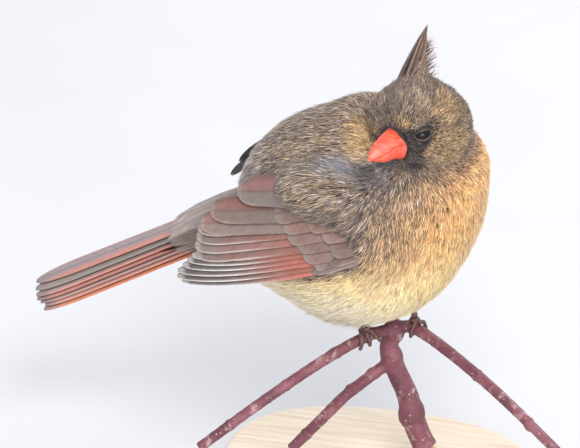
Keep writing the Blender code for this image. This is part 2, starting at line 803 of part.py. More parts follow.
def perch_meshes(grow=0.0):
    """The forked twig: a thick stem, three long side shoots, and knots where they part."""
    stem = twig(STEM_PATH, (3.7 + grow, 4.9 + grow), 12)
    slice_mesh(stem, FORK + Vector((0, 0, STEM_END_Z)) * MM, Vector((0, 0, -1)))
    meshes = [stem]
    meshes.append(twig(ARM_PATHS["left"], (2.45 + grow, 2.15 + grow)))
    meshes.append(twig(ARM_PATHS["right"], (2.6 + grow, 2.1 + grow)))
    meshes.append(twig(ARM_PATHS["low"], (2.5 + grow, 2.2 + grow)))
    for spot, size in KNOTS:
        radii = (size + grow, size + grow, size * 0.8 + grow)
        meshes.append(lump(FORK + Vector(spot) * MM, BODY_AXES, radii, 4))
    return meshes


def stand_base(wood):
    """A plain oval plinth with an eased top edge."""
    levels = ((0.0, 0.0), (0.72, 0.0), (0.92, 0.6), (1.0, 1.8))
    rings = []
    for height, inset in levels:
        ring = []
        for k in range(48):
            turn = 2 * math.pi * k / 48
            x = math.copysign(abs(math.cos(turn)) ** 0.8, math.cos(turn)) * (BASE_LENGTH / 2 - inset * MM)
            y = math.copysign(abs(math.sin(turn)) ** 0.8, math.sin(turn)) * (BASE_WIDTH / 2 - inset * MM)
            ring.append(Vector((x, y, height * BASE_THICKNESS)))
        rings.append(ring)
    return fuse("stand_base", [loft(rings)], wood)


def stand_rod(metal):
    """The short rod and its collar, from the top of the base to the cut end of the stem."""
    foot = Vector((FORK.x + 15 * MM, FORK.y, BASE_THICKNESS + GAP))
    top = FORK.z + STEM_END_Z * MM - GAP
    levels = ((0.0, 6.5), (1.4, 6.5), (2.0, 5.6), (2.001, ROD_RADIUS / MM))
    rings = []
    for height, radius in levels:
        rings.append((foot.z + height * MM, radius * MM))
    rings.append((top - 2.2 * MM, ROD_RADIUS))
    rings.append((top - 1.6 * MM, 4.4 * MM))
    rings.append((top, 4.4 * MM))
    turns = [2 * math.pi * k / 20 for k in range(20)]
    made = [[Vector((foot.x + r * math.cos(t), foot.y + r * math.sin(t), z)) for t in turns] for z, r in rings]
    return fuse("stand_rod", [loft(made)], metal)


def build():
    """The whole object."""
    clear_scene()
    olive = paint("body_plumage", (0.42, 0.32, 0.20), 0.85)
    rust = paint("flight_feathers", (0.38, 0.17, 0.13), 0.7)
    coral = paint("bill_horn", (0.85, 0.20, 0.10), 0.4)
    dark = paint("eye", (0.01, 0.008, 0.007), 0.08)
    scaly = paint("leg_skin", (0.16, 0.08, 0.07), 0.6)
    bark = paint("bark", (0.30, 0.09, 0.10), 0.6)
    wood = paint("stand_wood", (0.72, 0.62, 0.49), 0.45)
    metal = paint("stand_metal", (0.62, 0.50, 0.28), 0.3, 1.0)
    build_torso(COVERED, olive)
    build_neck(FLESH, olive)
    build_head(FLESH, olive)
    build_bill(coral)
    build_eyes(FLESH, dark)
    fuse("tail", build_tail(), rust, [body_cutter(COVERED)])
    fuse("wing_right", wing_pieces(-1), rust, [body_cutter(COVERED)])
    fuse("wing_left", wing_pieces(1), rust, [body_cutter(COVERED)])
    for name in ("left", "right"):
        fuse(f"foot_{name}", foot_pieces(name), scaly, perch_meshes(GAP / MM))
        fuse(f"leg_{name}", [tube(leg_path(name), [1.15 * MM, 1.5 * MM], 9)], scaly, [body_cutter(COVERED)])
    fuse("perch", perch_meshes(), bark)
    stand_base(wood)
    stand_rod(metal)


build()
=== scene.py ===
import math

import bmesh
import bpy
import numpy as np
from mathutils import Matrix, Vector


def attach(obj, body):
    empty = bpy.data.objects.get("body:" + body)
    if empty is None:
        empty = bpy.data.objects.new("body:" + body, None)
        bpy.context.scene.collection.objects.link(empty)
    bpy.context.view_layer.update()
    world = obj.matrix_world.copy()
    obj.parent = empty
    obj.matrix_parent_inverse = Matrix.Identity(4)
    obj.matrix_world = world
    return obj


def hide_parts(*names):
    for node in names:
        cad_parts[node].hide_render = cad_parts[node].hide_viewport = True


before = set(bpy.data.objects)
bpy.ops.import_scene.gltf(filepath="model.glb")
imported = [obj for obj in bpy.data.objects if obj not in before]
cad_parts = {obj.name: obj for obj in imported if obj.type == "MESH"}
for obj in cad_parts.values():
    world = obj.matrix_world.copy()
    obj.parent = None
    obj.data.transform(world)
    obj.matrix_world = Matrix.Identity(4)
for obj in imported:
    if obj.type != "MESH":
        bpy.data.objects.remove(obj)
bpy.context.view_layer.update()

MM = 0.001
rng = np.random.default_rng(7)


def unit(vectors):
    """Vectors scaled to a length of one, along the last axis."""
    vectors = np.asarray(vectors, float)
    return vectors / np.maximum(np.linalg.norm(vectors, axis=-1, keepdims=True), 1e-12)


def column(values):
    """Numbers as a column, to weigh rows of vectors."""
    return np.asarray(values)[:, None]


def smooth(low, high, value):
    """0 below low, 1 above high and a soft step between."""
    t = np.clip((value - low) / (high - low), 0, 1)
    return t * t * (3 - 2 * t)


# The same named points as in the solids, in metres.
FORK = np.array([6, 0, 73]) * MM
HEAD_CENTRE = FORK + np.array([18.8, -9.9, 96.6]) * MM
HEAD_F = unit([-0.485, -0.865, -0.117])
HEAD_L = unit(np.cross([-0.425, 0.116, 0.897], HEAD_F))
HEAD_U = -np.cross(HEAD_L, HEAD_F)
HEAD_ROWS = np.array([HEAD_F, HEAD_L, HEAD_U])
BODY_HEART = FORK + np.array([0, 0, 58]) * MM


def head_spot(spots):
    """Points from places in the head's own axes, in millimetres."""
    return HEAD_CENTRE + np.asarray(spots, float) @ HEAD_ROWS * MM


def head_way(ways):
    """Directions from the head's own axes."""
    return unit(np.asarray(ways, float) @ HEAD_ROWS)


def in_head(points):
    """Places in the head's own axes, in millimetres."""
    return (points - HEAD_CENTRE) @ HEAD_ROWS.T / MM


def in_body(points):
    """Places from the fork of the twig along the row axes, in millimetres."""
    return (points - FORK) / MM


# Objects and meshes


def add_object(name, data):
    """An object in the scene."""
    made = bpy.data.objects.new(name, data)
    bpy.context.scene.collection.objects.link(made)
    return made


def finish_piece(made, slot, *replaced, material):
    """Material, body and the nodes that a piece stands for; the slot is not used."""
    made.data.materials.clear()
    made.data.materials.append(material)
    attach(made, "root")
    if replaced:
        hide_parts(*replaced)
    return made


def link_mesh(name, vertices, faces):
    """A smooth object from arrays, with faces of one size."""
    data = bpy.data.meshes.new(name)
    count, corners = faces.shape
    data.vertices.add(len(vertices))
    data.vertices.foreach_set("co", np.asarray(vertices, np.float32).ravel())
    data.loops.add(count * corners)
    data.loops.foreach_set("vertex_index", faces.ravel().astype(np.int32))
    data.polygons.add(count)
    data.polygons.foreach_set("loop_start", np.arange(0, count * corners, corners, dtype=np.int32))
    data.update()
    data.polygons.foreach_set("use_smooth", np.full(count, True))
    data.validate()
    return add_object(name, data)


def from_bmesh(name, mesh):
    """A smooth object from a bmesh, which is freed."""
    data = bpy.data.meshes.new(name)
    mesh.to_mesh(data)
    mesh.free()
    data.shade_smooth()
    return add_object(name, data)


def recalculated(made):
    """Faces turned outwards."""
    mesh = bmesh.new()
    mesh.from_mesh(made.data)
    bmesh.ops.recalc_face_normals(mesh, faces=mesh.faces[:])
    mesh.to_mesh(made.data)
    mesh.free()
    return made


def loft_rows(name, rows, closed=True):
    """A mesh through rings of points, closed by a face at each end and turned outwards."""
    rows = np.asarray(rows)
    corner = np.arange(rows.shape[0] * rows.shape[1]).reshape(rows.shape[:2])
    after = np.roll(corner, -1, axis=1)
    faces = np.stack([corner[:-1], after[:-1], after[1:], corner[1:]], axis=-1).reshape(-1, 4)
    caps = [tuple(corner[0][::-1]), tuple(corner[-1])] if closed else []
    data = bpy.data.meshes.new(name)
    data.from_pydata([tuple(v) for v in rows.reshape(-1, 3)], [], [tuple(f) for f in faces] + caps)
    data.validate()
    data.shade_smooth()
    return recalculated(add_object(name, data))


def apply_modifiers(made):
    """The mesh as its modifiers leave it."""
    graph = bpy.context.evaluated_depsgraph_get()
    data = bpy.data.meshes.new_from_object(made.evaluated_get(graph))
    made.modifiers.clear()
    made.data = data
    data.shade_smooth()


def merged(name, parts, voxel, smoothing):
    """Several closed meshes as one even skin."""
    join = bmesh.new()
    for part in parts:
        join.from_mesh(part.data)
        bpy.data.objects.remove(part, do_unlink=True)
    bmesh.ops.recalc_face_normals(join, faces=join.faces[:])
    made = from_bmesh(name, join)
    remesh = made.modifiers.new("even", "REMESH")
    remesh.mode = "VOXEL"
    remesh.voxel_size = voxel
    made.modifiers.new("soft", "SMOOTH").iterations = smoothing
    apply_modifiers(made)
    return made


def points_of(made, kind="co"):
    """A mesh's points, or their normals, as an array."""
    values = np.empty(len(made.data.vertices) * 3, np.float32)
    made.data.vertices.foreach_get(kind, values)
    return values.reshape(-1, 3).astype(float)


def move_points(made, points):
    """New places for a mesh's points."""
    made.data.vertices.foreach_set("co", points.astype(np.float32).ravel())
    made.data.update()


def paint_points(made, colours, name="tint"):
    """A colour for each point of a mesh, kept as an attribute."""
    layer = made.data.color_attributes.new(name, "FLOAT_COLOR", "POINT")
    full = np.ones((len(colours), 4), np.float32)
    full[:, :3] = colours
    layer.data.foreach_set("color", full.ravel())


# Camera and light

PHOTO_WIDTH = 580
PHOTO_HEIGHT = 448
PIXELS_PER_MM = 2.5
FORK_PIXEL = (390, 322)
CAMERA_AZIMUTH = math.radians(15)
CAMERA_ELEVATION = math.radians(27)
CAMERA_AWAY = 4.0
SENSOR = 36.0


def aimed(name, data, place, way):
    """A lamp or a camera at a place, facing along a direction."""
    made = add_object(name, data)
    made.location = place
    made.rotation_mode = "QUATERNION"
    made.rotation_quaternion = Vector(way).to_track_quat("-Z", "Y")
    return made


def make_camera():
    """The camera at the photo's angle and framing."""
    level = math.cos(CAMERA_ELEVATION)
    right = np.array([math.cos(CAMERA_AZIMUTH), math.sin(CAMERA_AZIMUTH), 0])
    back = np.array([right[1] * level, -right[0] * level, math.sin(CAMERA_ELEVATION)])
    aside = (PHOTO_WIDTH / 2 - FORK_PIXEL[0]) / PIXELS_PER_MM
    above = (FORK_PIXEL[1] - PHOTO_HEIGHT / 2) / PIXELS_PER_MM
    target = FORK + (right * aside + np.cross(back, right) * above) * MM
    data = bpy.data.cameras.new("camera")
    data.sensor_width = SENSOR
    data.lens = PIXELS_PER_MM / MM * CAMERA_AWAY * SENSOR / PHOTO_WIDTH
    data.clip_start = 0.1
    data.clip_end = 50
    bpy.context.scene.camera = aimed("camera", data, target + back * CAMERA_AWAY, -back)


def make_light():
    """A bright overcast sky with a broad soft key from above, as over snow."""
    world = bpy.data.worlds.new("sky")
    bpy.context.scene.world = world
    bpy.context.scene.view_settings.view_transform = "Standard"
    world.use_nodes = True
    sky = world.node_tree.nodes["Background"]
    sky.inputs["Color"].default_value = (0.93, 0.95, 1.0, 1)
    sky.inputs["Strength"].default_value = 1.12
    for name, place, size, power, colour in (
        ("key", (0.40, -0.80, 1.10), 0.6, 11.5, (1.0, 0.985, 0.96)),
        ("fill", (0.45, -1.0, 0.10), 0.7, 8.5, (0.98, 0.985, 1.0)),
        ("rim", (0.3, 0.9, 0.9), 0.5, 5.0, (0.97, 0.98, 1.0)),
    ):
        data = bpy.data.lights.new(name, "AREA")
        data.shape = "DISK"
        data.size = size
        data.energy = power
        data.color = colour
        aimed(name, data, place, Vector((0, 0, 0.13)) - Vector(place))


# Body forms


def form(spot, radii, pitch=0, blend=0, head=False):
    """An ellipsoid of flesh and feathers in the body's or the head's own axes, in millimetres."""
    origin, rows = (HEAD_CENTRE, HEAD_ROWS) if head else (FORK, np.eye(3))
    turn = math.radians(pitch)
    along = rows[0] * math.cos(turn) + rows[2] * math.sin(turn)
    rise = rows[2] * math.cos(turn) - rows[0] * math.sin(turn)
    centre = origin + np.asarray(spot, float) @ rows * MM
    return centre, np.array(radii) * MM, np.array([along, rows[1], rise]), blend * MM


# The body and head as in the solids, which place the eyes and carry the wings.
FLESH = [
    form((-11, 0, 42.2), (44.5, 37, 40), 24),
    form((-27, 0, 61), (37, 31, 28), 34, 14),
    form((-38, 0, 33), (32, 18, 15), 22, 14),
    form((10, -1, 62), (29, 32, 30), 0, 12),
    form((17.5, -3, 78), (23, 25, 19), 0, 10),
    form((0, 0, 0), (18, 17.5, 17.5), 0, 8, head=True),
    form((10, 0, -2), (12, 12.5, 11.5), 0, 6, head=True),
    form((6, 0, 8), (13, 12.5, 12), 0, 8, head=True),
    form((-3, 0, 18), (4.5, 6, 12), 34, 13, head=True),
]

# The coat's outer surface: a slimmer neck and head, shoulders, scapulars, tufts over the wing's
# front edge, the nape's ruff and the crown's corners.
COVERED = FLESH[:4] + [
    form((16.5, -3, 74), (21.5, 23.5, 16), 0, 10),
    form((1.0, -0.8, -1.0), (16.8, 17.4, 17.0), 0, 8, head=True),
    form((10, 0, -2), (12, 12.5, 11.5), 0, 6, head=True),
    form((6, -0.5, 8), (13, 12, 12), 0, 8, head=True),
    form((-0.8, -0.8, 18), (3.4, 3.6, 10), 34, 8, head=True),
    *(form((-3, 31 * side, 61.6), (20, 13.5, 11), -45, 7) for side in (1, -1)),
    form((-18, -30, 70.5), (21, 15, 12), -8, 6),
    form((-18, 29, 65), (20, 14, 10), -8, 6),
    *(form((3, 30 * side, 50), (11, 13, 14), 0, 6) for side in (1, -1)),
    form((-10, 3, 86), (15, 14, 12), 0, 8),
    *(form((9.9, -1 + 8.5 * side, 10.8), (6.4, 6.2, 6.4), 0, 8, head=True) for side in (1, -1)),
]


def distance(points, forms=COVERED):
    """How far each point lies outside the softly joined forms."""
    total = None
    for centre, radii, rows, blend in forms:
        local = (points - centre) @ rows.T
        near = np.linalg.norm(local / radii, axis=-1)
        steep = np.linalg.norm(local / radii**2, axis=-1)
        gap = near * (near - 1.0) / np.maximum(steep, 1e-9)
        if total is None:
            total = gap
            continue
        mixed = np.maximum(blend - np.abs(total - gap), 0.0)
        total = np.minimum(total, gap) - mixed**2 / (4 * blend)
    return total


def outward(points, field=distance, step=0.3 * MM):
    """The way out of the surface at each point."""
    return unit(np.stack([field(points + s) - field(points - s) for s in np.eye(3) * step], axis=-1))


def last_inside(inside, count, far, steps):
    """How far each of some rays runs before it leaves a form, by halving."""
    near, far = np.zeros(count), np.full(count, far)
    for _ in range(steps):
        middle = (near + far) / 2
        within = inside(column(middle))
        near = np.where(within, middle, near)
        far = np.where(within, far, middle)
    return column(near)


EYE_START = (12.0, 4.0, 0.4)
EYE_FACING = (0.30, 0.95, 0.08)
EYE_RADIUS = 4.3 * MM
EYE_DEPTH = 3.1 * MM
BILL_ROOT = head_spot((19.0, 0, 0))
CREST_POINT = head_spot((-18, 0, 36.2))


def eye_centre(side):
    """The middle of an eye, as in the solids. Side 1 is the left eye and side -1 the right one."""
    start = head_spot(EYE_START * np.array([1, side, 1]))
    way = head_way(EYE_FACING * np.array([1, side, 1]))
    reach = last_inside(lambda far: distance(start + way * far, FLESH) < -EYE_DEPTH, 1, 12 * MM, 30)
    return start + way * reach[0, 0]


EYES = {side: eye_centre(side) for side in (1, -1)}


def brow_form(side):
    """The ridge of feathers that shades the top of an eye, as in the solids."""
    flip = np.array([1, side, 1])
    out = head_way(EYE_FACING * flip)
    centre = EYES[side] + (out * 2.6 + HEAD_U * 3.7) * MM
    along = head_way(np.array((0.92, -0.30, -0.20)) * flip)
    out = unit(out - along * (out @ along))
    return centre, np.array([6.5, 2.0, 1.9]) * MM, np.array([along, out, np.cross(along, out)]), 2.4 * MM


COVERED.extend(brow_form(side) for side in (1, -1))


# Skin


def coat_depth(points):
    """How deep the skin lies under the outer surface."""
    face = np.linalg.norm(points - BILL_ROOT, axis=-1)
    head = np.linalg.norm(points - HEAD_CENTRE, axis=-1)
    return (0.5 + 0.6 * smooth(8 * MM, 18 * MM, face) + 1.2 * smooth(18 * MM, 34 * MM, head)) * MM


def skin_field(points):
    """Distance outside the skin, which dips round the eyes."""
    total = distance(points) + coat_depth(points)
    for centre in EYES.values():
        total = np.maximum(total, EYE_RADIUS - 0.5 * MM - np.linalg.norm(points - centre, axis=-1))
    return total


def grid_sphere(cells):
    """A unit sphere of even faces."""
    mesh = bmesh.new()
    bmesh.ops.create_cube(mesh, size=2.0)
    bmesh.ops.subdivide_edges(mesh, edges=mesh.edges[:], cuts=cells - 1, use_grid_fill=True)
    for vertex in mesh.verts:
        vertex.co = Vector([math.tan(c * math.pi / 4) for c in vertex.co]).normalized()
    return mesh


def wrapped(centre):
    """A closed mesh out to the skin from a point inside it."""
    mesh = grid_sphere(40)
    rays = np.array([v.co for v in mesh.verts])
    reach = last_inside(lambda far: skin_field(centre + rays * far) < 0, len(rays), 160 * MM, 26)
    for vertex, spot in zip(mesh.verts, centre + rays * reach):
        vertex.co = spot
    return from_bmesh("wrap", mesh)


def make_skin():
    """One closed skin over head, neck and torso, under the coat."""
    made = merged("skin", [wrapped(BODY_HEART), wrapped(HEAD_CENTRE)], 0.9 * MM, 0)
    points = points_of(made)
    for _ in range(4):
        points -= outward(points, skin_field) * column(np.clip(skin_field(points), -1.5 * MM, 1.5 * MM))
    move_points(made, points)
    return made


# How the feathers lie


def head_share(points):
    """1 on the head and 0 on the body, with the neck between them."""
    return 1 - smooth(17, 36, np.linalg.norm(in_head(points), axis=-1))


def lie(points, normals):
    """The way each feather points along the surface, from its root to its tip."""
    head, body = in_head(points), in_body(points)
    on_head = head_share(points)
    front = smooth(-12, 14, body[:, 0])
    crown = smooth(5, 13, head[:, 2]) * smooth(0, 8, 16 + head[:, 2] - np.abs(head[:, 0]) * 0.3)
    side = np.zeros_like(points)
    side[:, 1] = np.sign(body[:, 1]) * smooth(0, 25, np.abs(body[:, 1])) * 0.12
    down, back = np.array([-0.22, 0, -1.0]) * column(front), np.array([-0.92, 0, -0.42]) * column(1 - front)
    way = unit(points - head_spot((20, 0, 0))) * column(on_head * 1.5)
    way = way + unit(CREST_POINT - points) * column(crown * on_head * 1.8)
    way = way + (down + back + side) * column(1.02 - on_head)
    return unit(way - normals * column(np.sum(way * normals, axis=1)))


# Plumage colours, as they look on a screen

CROWN = (111, 94, 82)
CREST_RED = (128, 88, 82)
CHEEK = (120, 102, 86)
NAPE = (188, 164, 138)
MANTLE = (144, 127, 112)
SCAPULAR = (158, 154, 158)
SHOULDER = (114, 101, 92)
RUMP = (178, 165, 160)
GOLD = (222, 178, 122)
ORANGE = (222, 163, 108)
# A duller orange, painted as shade on the part of the breast away from the light.
BREAST_SHADE = (172, 137, 106)
BUFF = (250, 210, 154)
CREAM = (254, 232, 200)
FLANK = (144, 124, 108)
MASK = (34, 31, 36)
CHIN = (92, 82, 78)

# Colour, start and end of a line in the head's own axes, radius, soft edge and strength.
HEAD_MARKS = (
    (CHEEK, (4, 17, -1), (-4, 17, -4), 6, 9, 1),
    (GOLD, (18.6, 6.5, 8.2), (18.0, 9.5, 5.5), 1.2, 2.0, 0.9),
    (GOLD, (17, 11.4, 5.8), (13.8, 13.8, 6.2), 0.7, 1.2, 1),
    (GOLD, (13.8, 13.8, 6.2), (8.5, 15, 6.2), 0.7, 1.4, 1),
    (GOLD, (8.5, 15, 6.2), (2, 15, 12), 0.6, 1.8, 0.25),
    (GOLD, (12, 12, -9), (2, 17, -13), 4, 7, 0.35),
    (GOLD, (4, 17.5, 4), (-3, 17, 9), 2, 6, 0.3),
    (CHIN, (15, 0, -9), (9, 0, -15), 5, 7, 0.8),
)


def blend_colours(base, colour, share):
    """A colour, or rows of them, moved toward another by a share each."""
    return base + (np.array(colour, float) - base) * column(np.clip(share, 0, 1))


def near_line(points, start, end, radius, soft):
    """1 within a radius of a line between two points, falling to 0 over a soft edge, in millimetres."""
    start, run = np.array(start, float), np.array(end, float) - start
    share = np.clip((points - start) @ run / max(run @ run, 1e-9), 0, 1)
    away = np.linalg.norm(points - start - column(share) * run, axis=1)
    return 1 - smooth(radius, radius + soft, away)


def ripple(points, scale, seed):
    """Soft noise from a few waves, between -1 and 1."""
    waves = np.random.default_rng(seed)
    total = np.zeros(len(points))
    for _ in range(6):
        way = unit(waves.normal(size=3)) / (scale * MM)
        total += np.sin(points @ way * waves.uniform(0.7, 1.6) * 2 * math.pi + waves.uniform(0, 7))
    return total / 3.2


def body_colour(body, drift):
    """Back, breast, belly and flanks, with a painted highlight and painted shade on the breast."""
    x, _, z = body.T
    edge = np.where(z >= 40, 5 + (z - 60) * 0.5, -5 - (40 - z) * 2.5) + drift * 5
    warm = smooth(-8, 8, x - edge) * (1 - smooth(78, 96, z + drift * 4) * (1 - smooth(24, 34, x)))
    base = np.broadcast_to(np.array(MANTLE, float), body.shape)
    base = blend_colours(base, NAPE, smooth(70, 90, z) * smooth(6, 26, x))
    base = blend_colours(base, SCAPULAR, np.maximum(
        near_line(body, (-1.3, -26, 81.7), (-13.5, -28, 78.7), 4, 8),
        near_line(body, (-13.5, -28, 78.7), (-30, -31.6, 70.5), 4, 8),
    ))
    base = blend_colours(base, SHOULDER, near_line(body, (-12, -38, 66), (-4, -40, 60), 5, 9) * 0.7)
    base = blend_colours(base, RUMP, 1 - smooth(-62, -42, x))
    base = blend_colours(base, FLANK, (1 - smooth(44, 66, z)) * 0.7)
    # Painted light on the breast: lighter toward its front as a painted highlight, duller farther back as
    # painted shade.
    bright = np.array(ORANGE, float) + column(14 * smooth(26, 42, x))
    bright = blend_colours(bright, BREAST_SHADE, 1 - smooth(12, 36, x + 0.4 * (62 - z)))
    bright = blend_colours(bright, BUFF, 1 - smooth(24, 62, z + drift * 6))
    bright = blend_colours(bright, CREAM, (1 - smooth(14, 40, z)) * (1 - smooth(-10, 30, x)) * 0.9)
    mixed = blend_colours(base, bright, warm)
    return blend_colours(mixed, CHIN, near_line(body, (14, -30, 85), (-2, -27, 79), 3, 7) * 0.4)


def head_colour(head, drift):
    """Crown, cheeks, mask, brows and chin, the same on both sides."""
    folded = np.abs(head) * [0, 1, 0] + head * [1, 0, 1]
    base = np.broadcast_to(np.array(CROWN, float), head.shape)
    base = blend_colours(base, CREST_RED, smooth(19, 31, head[:, 2] + drift * 3) * 0.8)
    for colour, start, end, radius, soft, strength in HEAD_MARKS:
        base = blend_colours(base, colour, near_line(folded, start, end, radius, soft) * strength)
    ring = near_line(folded, (16.5, 0, 0), (19, 0, -0.5), 8.2 + 0.6 * drift, 1.4)
    lores = near_line(folded, (18.5, 5.5, -3.2), (16.4, 9.6, 0.2), 4.4 + 0.5 * drift, 1.5)
    chin = near_line(folded, (18, 3.5, -8.5), (15.5, 0, -11), 3.2 + drift, 3.4)
    return blend_colours(base, MASK, np.maximum(np.maximum(ring, lores), chin) * 0.96)


def plumage(points):
    """The colour of the plumage at each point."""
    drift = ripple(points, 9, 3) * 0.6 + ripple(points, 3.5, 5) * 0.4
    head, body = in_head(points), in_body(points)
    away = np.linalg.norm(head, axis=-1) + drift * 2
    share = 1 - smooth(0, 1, (away - 17.5) / (12.5 - 2.5 * smooth(-2, -12, head[:, 2])))
    colours = blend_colours(body_colour(body, drift), head_colour(head, drift), share)
    colours = blend_colours(colours, GOLD, near_line(body, (-9, -15, 95), (-6, -22, 88), 2.5, 6) * 0.65)
    return colours * column(1 + 0.06 * ripple(points, 5, 8))


def linear(colours):
    """Screen colours as linear numbers, with the brightest ones held back."""
    soft = np.minimum(colours, 235) + np.clip(colours - 235, 0, None) * 0.35
    values = np.clip(soft, 0, 247) / 255
    return np.where(values <= 0.04045, values / 12.92, ((values + 0.055) / 1.055) ** 2.4)


# Blades: thin tapering barbs of seven points, in pairs along the middle and one at the tip

BLADE_SHARES = np.array([0.0, 0.38, 0.72, 1.0])
BLADE_WIDTHS = np.array([0.75, 1.0, 0.72, 0.0])
BLADE_FACES = np.array([[0, 1, 3], [0, 3, 2], [2, 3, 5], [2, 5, 4], [4, 5, 6]])
PATCH = 0.003
BLADE_PATCH = np.array([[-1, -1], [1, -1], [-1, 0], [1, 0], [-1, 0.6], [1, 0.6], [0, 1]]) * PATCH / 2


def blade_points(middles, sides, widths, tints):
    """The points of one blade for each root, and their tints."""
    spots, shades = [], []
    for i, (middle, side, tint) in enumerate(zip(middles, sides, tints)):
        for end in (0,) if i == 3 else (-1, 1):
            spots.append(middle + side * column(widths * BLADE_WIDTHS[i]) * end)
            shades.append(tint)
    return np.stack(spots, axis=1), np.stack(shades, axis=1)


def blade_piece(name, spots, tints, places, material):
    """One piece of blades, each a small patch of the UV map at its root's place."""
    faces = (np.arange(len(places))[:, None, None] * 7 + BLADE_FACES).reshape(-1, 3)
    made = link_mesh(name, spots.reshape(-1, 3), faces)
    paint_points(made, linear(tints.reshape(-1, 3)))
    flat = (places[:, None, :] + BLADE_PATCH).reshape(-1, 2).astype(np.float32)
    loops = np.empty(len(made.data.loops), np.int32)
    made.data.loops.foreach_get("vertex_index", loops)
    made.data.uv_layers.new(name="OFBake").data.foreach_set("uv", flat[loops].ravel())
    return finish_piece(made, "body_plumage", material=material)


# Coat

CLUMP_REACH = (0.82, 0.93, 1.0, 0.92, 0.80)
CLUMP_FAN = np.radians([-13, -6, 0, 6, 13])
PIECE_CLUMPS = 7600


def feather_length(points):
    """How long the free end of a body feather is, in metres."""
    face = np.linalg.norm(points - BILL_ROOT, axis=-1) / MM
    length = 1.3 + 2.2 * smooth(6, 18, face) + 1.6 * smooth(4, 14, in_head(points)[:, 2])
    long = 7.5 + 1.5 * (1 - smooth(20, 50, in_body(points)[:, 2]))
    length = length + (long - length) * (1 - head_share(points))
    for centre in EYES.values():
        away = np.linalg.norm(points - centre, axis=-1) / MM
        length = length * (1 - 0.55 * (1 - smooth(4.5, 8.5, away)))
    return length * MM


def covered(points):
    """True where a folded wing, the bill or an eye leaves no room for feathers."""
    x, y, z = in_body(points).T
    bare = np.linalg.norm((in_head(points) - [19.5, 0, 0.4]) / [4.0, 6.6, 6.6], axis=1) < 1
    for centre in EYES.values():
        bare |= np.linalg.norm(points - centre, axis=1) < EYE_RADIUS
    under_wing = (np.abs(y) > 24) & (x < -14) & (x > -46)
    return bare | (under_wing & (z > 42 + (x + 8) * 0.30) & (z < 66 + (x + 8) * 0.28))


def scatter(made, count):
    """Even random places over a mesh, closer together on the head."""
    data = made.data
    data.calc_loop_triangles()
    corners = np.empty(len(data.loop_triangles) * 3, np.int32)
    data.loop_triangles.foreach_get("vertices", corners)
    a, b, c = points_of(made)[corners.reshape(-1, 3).T]
    weight = np.linalg.norm(np.cross(b - a, c - a), axis=1)
    weight *= 1 + 2.6 * head_share((a + b + c) / 3)
    picks = rng.choice(len(a), count, p=weight / weight.sum())
    u, v = rng.random(count), rng.random(count)
    turn = u + v > 1
    u[turn], v[turn] = 1 - u[turn], 1 - v[turn]
    spots = a[picks] + (b - a)[picks] * column(u) + (c - a)[picks] * column(v)
    return spots[~covered(spots)]


def clump_lines(roots):
    """Points along the middle of each clump, with the way out and across at each of them."""
    count = len(roots)
    depth = coat_depth(roots)
    out = outward(roots)
    length = feather_length(roots) * rng.uniform(0.82, 1.15, count)
    along = lie(roots, out)
    along = unit(along + np.cross(out, along) * column(rng.normal(0, 0.10, count)))
    hang = 1 - smooth(1, 13, in_body(roots)[:, 2])
    stand = rng.uniform(-0.3, 0.5, count) + 0.9 * rng.random(count) ** 9
    stand = (stand + 2.0 * hang * rng.random(count)) * MM
    sag = column(6.5 * hang * rng.random(count) * MM)
    lines, outs, sides = [], [], []
    spot = roots
    for i, share in enumerate(BLADE_SHARES):
        if i:
            spot = spot + along * column(length * (share - BLADE_SHARES[i - 1]))
            out = outward(spot)
            level = -depth * (1 - share) ** 1.4 + stand * share
            spot = spot + out * column(level - distance(spot))
            along = unit(along - out * column(np.sum(along * out, axis=1)))
        lines.append(spot - np.array([0, 0, 1]) * sag * share**2)
        outs.append(out)
        sides.append(np.cross(out, along))
    return lines, outs, sides, length


def coat_uv(roots, centre):
    """A place on an unwrap of the skin for each root, seen round a point inside it."""
    way = unit(roots - centre)
    turn = np.arctan2(way[:, 1], way[:, 0])
    turn = turn - np.median(turn)
    turn = (turn + math.pi) % (2 * math.pi) - math.pi
    place = np.stack([turn, np.arcsin(np.clip(way[:, 2], -1, 1))], axis=1)
    low, high = place.min(axis=0), place.max(axis=0)
    return 0.01 + (place - low) / (high - low) * 0.98


def coat_piece(name, roots, centre, material):
    """One patch of coat: each root carries a clump of fine tapering barbs."""
    count = len(roots)
    lines, outs, sides, length = clump_lines(roots)
    base = plumage(roots + outs[0] * column(coat_depth(roots)) + (lines[2] - lines[0]) * 0.6)
    base = base * column(rng.normal(1.0, 0.06, count))
    base = base + column(rng.normal(0, 1, count)) * np.array([4.0, 0.5, -6.0])
    bright = smooth(125, 205, base.mean(axis=1))
    dark = 0.46 - 0.06 * head_share(roots) + 0.30 * bright
    strong = 0.34 - 0.23 * bright
    fine = 0.21 + 0.13 * (1 - head_share(roots))
    blades = []
    for most, fan in zip(CLUMP_REACH, CLUMP_FAN):
        reach = column(most * rng.uniform(0.85, 1.1, count))
        aside = math.sin(fan) + rng.normal(0, 0.05, count)
        shade = rng.normal(0, 1, count)
        streaked = base * column(1 + strong * shade) + column(shade) * np.array([2.0, 0.5, -2.0])
        wide = fine * rng.uniform(0.8, 1.25, count) * MM / 2
        middles = [
            lines[0] + (line - lines[0]) * reach + side * column(length * aside * share)
            for line, side, share in zip(lines, sides, BLADE_SHARES)
        ]
        tints = [streaked * column(dark + (1.08 - dark) * share**0.8) for share in BLADE_SHARES]
        blades.append(blade_points(middles, sides, wide, tints))
    spots, tints = (np.stack(parts, axis=1) for parts in zip(*blades))
    return blade_piece(name, spots, tints, np.repeat(coat_uv(roots, centre), len(blades), axis=0), material)


